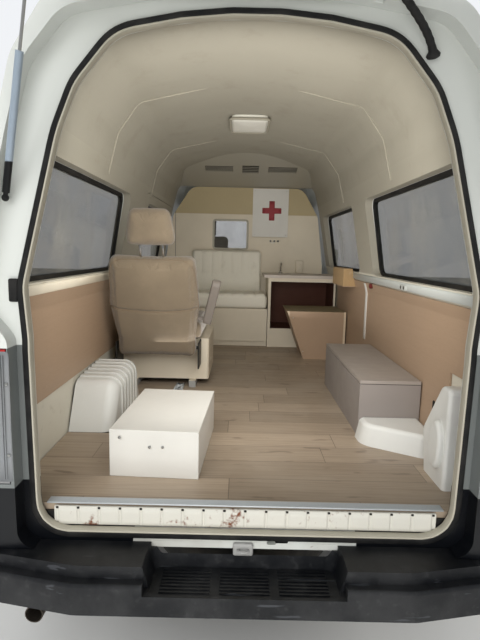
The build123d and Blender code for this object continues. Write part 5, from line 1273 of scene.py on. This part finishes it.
class AMBULANCE_OT_seat(bpy.types.Operator):
    """Upholster the attendant seat: back with a pocket, cushion, head restraint"""

    bl_idname = "ambulance.seat"
    bl_label = "Attendant Seat"

    def execute(self, context):
        looks = context.scene.ambulance_looks
        # Half widths: of the block as it swells, of the back at its widest, and of the pad there
        block_half, widest, pad_half = 0.24, 0.255, 0.2545
        height = SEAT_BACK[-1][1]
        low, high = np.array([-1.0, 0, -SEAT_BACK_DEPTH / 2]), np.array([1.0, height, SEAT_BACK_DEPTH / 2])

        def crown(share, normal):
            across, up = np.clip(np.abs(share[:, :2]), 0, 1).T
            return looks.crown * 0.7 * (1 - across ** 2.4) * (1 - up ** 4) * np.abs(normal[:, 2])

        size = (block_half, 1, 1)
        points, quads = rounded_block(low * size, high * size, 0.034, (26, 32, 3), 4, crown)
        share = np.interp(points[:, 1], [v for _, v, _ in SEAT_BACK], [w for w, _, _ in SEAT_BACK]) / widest
        points[:, 0] *= share / block_half * pad_half
        back = self.pad("seat_back_pad", (seat_frame(points), quads), "seat_back", 0.010)
        self.pocket(back)
        self.fasten(back, "seat_fabric", "seat_back")
        low_width, base, top, depth = HEAD_RESTRAINT
        low, high = (-low_width, base, -depth / 2), (low_width, top, depth / 2)
        points, quads = rounded_block(low, high, 0.036, (14, 10, 3), 4, crown)
        points[:, 0] *= 1 - 0.20 * np.clip((points[:, 1] - base) / (top - base), 0, 1) ** 1.5
        restraint = self.pad("head_restraint_pad", (seat_frame(points), quads), "seat_back", 0.006)
        self.fasten(restraint, "seat_fabric")
        posts = [bar(*seat_frame([(y, 0.560, 0), (y, 0.690, 0)]), circle(0.006, 12), (0, 1, 0))
                 for y in (-0.060, 0.060)]
        add_piece("head_restraint_posts", joined(*posts), "chrome", "seat_back")
        self.cushion(looks)
        self.rail()
        return {"FINISHED"}

    def rail(self):
        """End of the seat's slide rail on the floor behind its plinth, with painted shade as a row of round
        holes.
        """
        y = 0.384
        start, end = place(1.468, y, FLOOR), place(1.636, y, FLOOR)
        channel = [(-0.024, -0.001), (0.024, -0.001), (0.024, 0.016), (0.017, 0.016), (0.017, 0.006),
                   (-0.017, 0.006), (-0.017, 0.016), (-0.024, 0.016)]
        add_piece("slide_rail", bar(start, end, channel), "aluminium")
        # Painted shade: dark discs as the rail's holes.
        spots = [place(1.490 + 0.032 * n, y, FLOOR + 0.0055) for n in range(5)]
        hole_shades = [disc(spot, 0.0070, 0.0012, "z", 16) for spot in spots]
        add_piece("slide_rail_hole_shades", joined(*hole_shades), "dark")

    def pad(self, name, shape, body, cap):
        """A cloth pad, swollen by the simulation."""
        piece = add_piece(name, shape, "cloth", body, uv=np.zeros((len(shape[0]), 2)))
        return inflate(piece, cap)

    def fasten(self, piece, slot, *replaced):
        """Maps the cloth in metres and hides the parts that the pad replaces."""
        cloth_map(piece)
        if replaced:
            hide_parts(*replaced)

    def pocket(self, back):
        """Presses the map pocket's curved mouth into the back's rear face, and lays piping on it."""
        mesh = back.data
        local = seat_local(read(mesh.vertices, "co", 3))
        mouth = self.mouth(local[:, 0])
        behind = 1 / (1 + np.exp((local[:, 2] + 0.030) / 0.004))
        below = 1 / (1 + np.exp((local[:, 1] - mouth) / 0.0025))
        groove = np.exp(-((local[:, 1] - mouth - 0.005) / 0.006) ** 2)
        side = np.exp(-((np.abs(local[:, 0]) - 0.205) / 0.007) ** 2)
        wave = np.sin(local[:, 0] * 46 + 1.3 * np.sin(local[:, 1] * 21))
        pleat = 0.0016 * wave * np.clip(local[:, 1] / 0.3, 0, 1)
        local[:, 2] += behind * (groove * 0.006 + side * 0.0035 - below * (0.0045 + pleat))
        mesh.vertices.foreach_set("co", seat_frame(local).ravel())
        mesh.update()
        y = np.linspace(-0.232, 0.232, 41)
        tree = self.surface(back)
        path = np.array([self.laid(tree, a, b) for a, b in zip(y, self.mouth(y) + 0.001)])
        cord = carried(circle(0.0045, 10), path, (0, 0, 1), closed=False)
        add_piece("pocket_piping", cord, "piping", "seat_back")
        rows = [(w - 0.013, v, r) for w, v, r in SEAT_BACK]
        rows = rounded_outline(rows + [(-w, v, r) for w, v, r in reversed(rows)])
        rim = even(rows, 150)
        path = np.array([self.laid(tree, a, 0.013 + b * 0.957) for a, b in rim])
        cord = carried(circle(0.0030, 8), path, (1, 0, 0))
        add_piece("back_piping", cord, "piping", "seat_back")

    def mouth(self, across):
        """Height of the pocket's sagging mouth at places across the back."""
        return POCKET_HEIGHT - POCKET_SAG * (1 - (across / POCKET_HALF) ** 2)

    def surface(self, piece):
        """Search tree of a mesh's faces."""
        return BVHTree.FromPolygons([v.co[:] for v in piece.data.vertices],
                                    [list(f.vertices) for f in piece.data.polygons])

    def laid(self, tree, across, up):
        """Point of the pad's rear face at a place of the back's plane."""
        start, ahead = seat_frame([(across, up, -0.2)])[0], seat_frame([(across, up, 0.0)])[0]
        aim = ahead - start
        hit = tree.ray_cast(start.tolist(), (aim / np.linalg.norm(aim)).tolist(), 0.25)
        return np.array(hit[0]) if hit[0] else seat_frame([(across, up, -0.030)])[0]

    def cushion(self, looks):
        """Seat cushion with a seam round its top panel."""

        def crown(share, normal):
            x, y = np.clip(np.abs(share[:, 0]), 0, 1), np.clip(np.abs(share[:, 1]), 0, 1)
            seam = np.exp(-((np.maximum(x, y) - 0.80) / 0.035) ** 2)
            return (looks.crown * (1 - x ** 3) * (1 - y ** 3) - seam * 0.006) * np.clip(normal[:, 2], 0, 1)

        low, high = place(1.572, 0.259, 0.9315), place(2.148, 0.735, 1.038)
        shape = rounded_block(low, high, 0.036, (30, 26, 5), 4, crown)
        pad = add_piece("seat_cushion_pad", shape, "cloth", uv=np.zeros((len(shape[0]), 2)))
        self.fasten(pad, "seat_fabric", "seat_cushion")


class AMBULANCE_OT_bench(bpy.types.Operator):
    """Upholster the bench across the bulkhead in sewn channels"""

    bl_idname = "ambulance.bench"
    bl_label = "Bench"

    def execute(self, context):
        looks = context.scene.ambulance_looks

        def channels(axis, crown, face):
            """Swell of a cushion sewn into channels on one face; the back's end halfway down in a seam."""
            count = looks.bench_channels

            def swell(share, normal):
                phase = (np.clip(share[:, 1], -1, 1) + 1) / 2 * count
                tube = np.abs(np.sin(phase * math.pi)) ** 0.40 - 1
                along = 1 - np.clip(np.abs(share[:, axis]), 0, 1) ** 5
                shown = np.clip(normal @ face * 1.4, 0, 1)
                seam = np.zeros(len(share))
                if axis == 2:
                    tube = tube * np.clip((share[:, 2] + 0.12) * 12, 0, 1)
                    seam = np.exp(-((share[:, 2] + 0.12) / 0.035) ** 2)
                return (tube * 0.0105 - seam * 0.007 + crown * along) * shown

            return swell

        seat = rounded_block(place(2.905, -0.195, 0.969), place(3.277, 0.505, 1.094), 0.030, (12, 96, 5), 4,
                             channels(0, 0.006, np.array([0, 0, 1.0])))
        back = rounded_block(place(3.281, -0.150, 1.064), place(3.350, 0.485, 1.460), 0.026, (3, 96, 14), 4,
                             channels(2, 0.005, np.array([-1.0, 0, 0])))
        pads = (("bench_seat_pad", seat, ["bench_cushions"]), ("bench_back_pad", back, []))
        for name, shape, replaced in pads:
            pad = add_piece(name, shape, "white_vinyl", replaces=replaced)
        return {"FINISHED"}


class AMBULANCE_OT_cab(bpy.types.Operator):
    """Upholster the cab seats and fit the wipers"""

    bl_idname = "ambulance.cab"
    bl_label = "Cab"

    def execute(self, context):
        looks = context.scene.ambulance_looks

        def crown(share, normal):
            a, b = np.clip(np.abs(share[:, 1]), 0, 1), np.clip(np.abs(share), 0, 1).min(1)
            seam = np.exp(-((a - 0.62) / 0.05) ** 2)
            shown = np.clip(np.abs(normal[:, 0]) + normal[:, 2], 0, 1)
            return (looks.crown * (1 - b ** 3) - seam * 0.008) * shown

        # Cushion, back and head restraint: stations, heights, width, corner radius
        parts = [((3.562, 4.078), (0.952, 1.086), 0.490, 0.04), ((3.444, 3.556), (0.954, 1.576), 0.470, 0.04),
                 ((3.462, 3.528), (1.582, 1.756), 0.236, 0.03)]
        for name, y, replaced in (("left", 0.400, ["cab_seats"]), ("right", -0.400, [])):
            shapes = [block_at_swollen(s, (y - width / 2, y + width / 2), z, radius, crown)
                      for s, z, width, radius in parts]
            pad = add_piece(f"{name}_cab_seat_pad", joined(*shapes), "cab_vinyl",
                            replaces=replaced)
        slope = np.array([place(4.7355, 0, 1.190), place(4.140, 0, 1.853)])
        along = slope[1] - slope[0]
        outwards = np.array([along[2], 0, -along[0]]) / np.linalg.norm(along)
        wipers = []
        for pivot, tip in ((0.10, 0.56), (-0.46, 0.02)):
            foot = slope[0] + (0, pivot, 0) + outwards * 0.020
            end = slope[0] + along * 0.16 + (0, tip, 0) + outwards * 0.020
            wipers.append(bar(foot, end, rectangle((-0.008, 0.008), (-0.006, 0.004)), outwards))
            blade = (end - foot) * 0.42
            wipers.append(bar(end - blade, end + blade, rectangle((-0.004, 0.004), (-0.018, 0.0)), outwards))
        add_piece("wipers", joined(*wipers), "black_plastic")
        return {"FINISHED"}


class AMBULANCE_OT_wheels(bpy.types.Operator):
    """Cut the tyres' treads and fit the wheel nuts"""

    bl_idname = "ambulance.wheels"
    bl_label = "Wheels"

    def execute(self, context):
        # Tyre section from the outer bead round the tread: distance outboard, radius
        section = np.array([(-0.062, 0.1765), (-0.080, 0.180), (-0.090, 0.200), (-0.097, 0.232),
                            (-0.0985, 0.262), (-0.0965, 0.290), (-0.093, 0.318), (-0.087, 0.334),
                            (-0.078, 0.3425), (-0.064, 0.3455), (-0.0635, 0.337), (-0.0575, 0.337),
                            (-0.057, 0.3458), (-0.024, 0.346), (-0.0235, 0.3375), (-0.0175, 0.3375),
                            (-0.017, 0.346)])
        section = np.vstack([section, section[::-1] * (-1, 1)])
        # Rows of the section across which the tread is cut, and how deep, on each shoulder
        tread = np.array([5, 6, 7, 8, 9, 24, 25, 26, 27, 28])
        depth = np.array([0.0010, 0.0020, 0.0040, 0.0060, 0.0060])
        depth = np.concatenate([depth, depth[::-1]])
        blocks, steps = 64, 4
        angle = np.linspace(0, 2 * math.pi, blocks * steps, endpoint=False)
        radius = np.repeat(section[None, :, 1], len(angle), 0)
        cut = (np.arange(len(angle)) % steps == 0)[:, None]
        radius[:, tread] -= cut * depth
        inner = np.array([(0.058, 0.1765), (0.072, 0.245), (0.066, 0.320), (-0.066, 0.320), (-0.072, 0.245),
                          (-0.058, 0.1765)])
        # Nut and hub cap: distance outboard, radius
        nut = [(0, 0.011), (0.012, 0.0105), (0.015, 0.007), (0.015, POLE)]
        dome = [(0.036, 0.034), (0.056, 0.032), (0.062, 0.026), (0.063, POLE)]
        width = np.concatenate([section[:, 0], inner[:, 0]])
        radius = np.hstack([radius, np.repeat(inner[None, :, 1], len(angle), 0)])
        for wheel, station, side in (("front_left", FRONT_AXLE, 1), ("front_right", FRONT_AXLE, -1),
                                     ("rear_left", REAR_AXLE, 1), ("rear_right", REAR_AXLE, -1)):
            centre = place(station, side * WHEEL_TRACK, TYRE_RADIUS)
            points = np.stack([radius * np.sin(angle)[:, None], np.broadcast_to(width, radius.shape),
                               radius * np.cos(angle)[:, None]], -1) + centre
            add_piece(f"{wheel}_tread", grid(points, wrap_rows=True, wrap_columns=True), "tyre",
                      f"{wheel}_wheel", [f"{wheel}_tyre"])
            nuts = []
            for turn in np.arange(6) * math.pi / 3:
                spot = centre + (0.060 * math.sin(turn), side * 0.041, 0.060 * math.cos(turn))
                nuts.append(turned_profile(np.array(nut) * (side, 1), 6, "y", spot))
            cap = turned_profile(np.array(dome) * (side, 1), 28, "y", centre)
            add_piece(f"{wheel}_nuts", joined(*nuts, cap), "steel", f"{wheel}_wheel")
        return {"FINISHED"}


class AmbulanceLooks(bpy.types.PropertyGroup):
    """Sizes and colours that a user would change."""

    plank_width: FloatProperty(name="Plank Width", description="Width of a floor plank", default=0.152,
                               min=0.05, max=0.4, subtype="DISTANCE", unit="LENGTH")
    floor_colour: FloatVectorProperty(name="Floor", description="Base colour of the floor planks",
                                      default=SRGB["floor_plank"], min=0, max=1, subtype="COLOR")
    trim_colour: FloatVectorProperty(name="Wall Trim", description="Colour of the wooden wall trim",
                                     default=SRGB["trim_wood"], min=0, max=1, subtype="COLOR")
    seat_colour: FloatVectorProperty(name="Seat Cloth", description="Colour of the attendant seat's cloth",
                                     default=SRGB["seat_cloth"], min=0, max=1, subtype="COLOR")
    bench_channels: IntProperty(name="Bench Channels", description="Sewn channels across the bench",
                                default=7, min=3, max=24)
    crown: FloatProperty(name="Crown", description="How far cushions swell between their seams",
                         default=0.016, min=0, max=0.05, subtype="DISTANCE", unit="LENGTH")
    lamp_strength: FloatProperty(name="Lamp Strength", description="Power of the main softbox", default=150.0,
                                 min=0, max=2000, unit="POWER")


class AMBULANCE_OT_stage(bpy.types.Operator):
    """Set the floor, camera and soft studio lamps"""

    bl_idname = "ambulance.stage"
    bl_label = "Stage"

    def execute(self, context):
        scene = context.scene
        scene.view_settings.view_transform = "Standard"
        self.add_floor()
        self.add_world(scene)
        self.add_camera(scene)
        strength = scene.ambulance_looks.lamp_strength
        # Softboxes: name, place, the point they face, size, power, colour
        boxes = [
            ("main_softbox", (-4.6, 1.6, 3.4), (0.6, 0.0, 0.9), 3.2, strength * 0.75, (1.0, 1.0, 1.0)),
            ("floor_bounce", (-3.4, 0.0, 0.25), (0.8, 0.0, 2.1), 2.2, strength * 0.30, (1.0, 0.99, 0.97)),
            ("inside_fill", (-1.40, 0.0, 1.60), (1.6, 0.0, 1.15), 0.8, strength * 0.09, (1.0, 0.99, 0.97)),
            ("ceiling_fill", (0.10, 0.0, 0.95), (0.10, 0.01, 2.20), 1.0, strength * 0.035, (1.0, 0.99, 0.97)),
            ("left_softbox", (1.5, 6.5, 4.2), (0.5, 0.0, 1.0), 4.5, strength * 1.5, (1.0, 1.0, 1.0)),
            ("right_softbox", (1.0, -6.0, 3.6), (0.3, 0.0, 0.8), 4.0, strength * 1.9, (1.0, 0.98, 0.95)),
            ("front_softbox", (8.0, 0.5, 4.5), (2.5, 0.0, 1.0), 4.0, strength * 1.2, (1.0, 1.0, 1.0)),
        ]
        for name, spot, target, size, power, colour in boxes:
            lamp = bpy.data.lights.new(name, "AREA")
            lamp.shape, lamp.size, lamp.energy, lamp.color = "SQUARE", size, power, colour
            body = bpy.data.objects.new(name, lamp)
            scene.collection.objects.link(body)
            body.visible_camera = body.visible_glossy = False
            aim = np.array(target, float) - np.array(spot, float)
            turn = Matrix(np.column_stack(facing(-aim)).tolist()).to_4x4()
            body.matrix_world = Matrix.Translation(spot) @ turn
        return {"FINISHED"}

    def add_floor(self):
        """A plain pale floor."""
        f = Finish("studio_floor")
        tone = f.tinted(linear((0.80, 0.80, 0.79)), f.noise(0.6, 3), 0.02)
        f.finish(tone, 0.85)
        points = np.array([[[-30, -30, 0], [-30, 30, 0]], [[30, -30, 0], [30, 30, 0]]], float)
        vertices, faces = grid(points)
        mesh = bpy.data.meshes.new("studio_floor")
        mesh.from_pydata(vertices.tolist(), [], faces[:, ::-1].tolist())
        mesh.materials.append(f.material)
        floor = bpy.data.objects.new("studio_floor", mesh)
        bpy.context.scene.collection.objects.link(floor)

    def add_world(self, scene):
        """An even sky: soft light on the object, near white to the camera and in glass."""
        world = bpy.data.worlds.new("studio")
        scene.world = world
        world.use_nodes = True
        tree = world.node_tree
        tree.nodes.clear()
        path = tree.nodes.new("ShaderNodeLightPath")
        seen = tree.nodes.new("ShaderNodeMath")
        seen.operation = "MAXIMUM"
        tree.links.new(path.outputs["Is Camera Ray"], seen.inputs[0])
        tree.links.new(path.outputs["Is Transmission Ray"], seen.inputs[1])
        strength = tree.nodes.new("ShaderNodeMapRange")
        tree.links.new(seen.outputs[0], strength.inputs[0])
        strength.inputs[3].default_value, strength.inputs[4].default_value = 0.50, 0.93
        sky = tree.nodes.new("ShaderNodeBackground")
        sky.inputs[0].default_value = (0.95, 0.97, 1.0, 1)
        tree.links.new(strength.outputs[0], sky.inputs[1])
        out = tree.nodes.new("ShaderNodeOutputWorld")
        tree.links.new(sky.outputs[0], out.inputs[0])

    def add_camera(self, scene):
        """The photograph's viewpoint: behind the open tailgate, looking slightly down."""
        pitch, roll = math.radians(CAMERA_PITCH), math.radians(CAMERA_ROLL)
        right, up = np.array([0.0, -1, 0]), np.array([math.sin(pitch), 0, math.cos(pitch)])
        across = right * math.cos(roll) + up * math.sin(roll)
        upward = up * math.cos(roll) - right * math.sin(roll)
        back = np.cross(across, upward)
        camera = bpy.data.cameras.new("camera")
        camera.sensor_fit, camera.sensor_height = "VERTICAL", 36.0
        camera.lens = CAMERA_FOCAL / PHOTO_HEIGHT * camera.sensor_height
        camera.clip_start = 0.05
        holder = bpy.data.objects.new("camera", camera)
        scene.collection.objects.link(holder)
        turn = Matrix(np.column_stack([across, upward, back]).tolist()).to_4x4()
        holder.matrix_world = Matrix.Translation(place(*CAMERA_PLACE)) @ turn
        scene.camera = holder


def facing(back):
    """Right, up and back vectors of something that looks away from a direction."""
    back = back / np.linalg.norm(back)
    right = np.cross([0, 0, 1.0], back)
    right = right / np.linalg.norm(right)
    return right, np.cross(back, right), back


class AMBULANCE_PT_looks(bpy.types.Panel):
    """Lists the sizes, colours and piece groups"""

    bl_label = "Ambulance Looks"
    bl_idname = "AMBULANCE_PT_looks"
    bl_space_type = "VIEW_3D"
    bl_region_type = "UI"
    bl_category = "Ambulance"

    def draw(self, context):
        column = self.layout.column()
        for name in AmbulanceLooks.__annotations__:
            column.prop(context.scene.ambulance_looks, name)
        for operator in OPERATORS:
            column.operator(operator.bl_idname)


OPERATORS = (
    AMBULANCE_OT_dress_frame,
    AMBULANCE_OT_opening,
    AMBULANCE_OT_bulkhead,
    AMBULANCE_OT_walls,
    AMBULANCE_OT_seat,
    AMBULANCE_OT_bench,
    AMBULANCE_OT_cab,
    AMBULANCE_OT_wheels,
    AMBULANCE_OT_stage,
)
CLASSES = (AmbulanceLooks, *OPERATORS, AMBULANCE_PT_looks)


def register():
    for item in CLASSES:
        bpy.utils.register_class(item)
    bpy.types.Scene.ambulance_looks = PointerProperty(type=AmbulanceLooks)


def unregister():
    del bpy.types.Scene.ambulance_looks
    for item in reversed(CLASSES):
        bpy.utils.unregister_class(item)


def main():
    register()
    for operator in OPERATORS:
        group, name = operator.bl_idname.split(".")
        getattr(getattr(bpy.ops, group), name)()


if __name__ == "__main__":
    main()
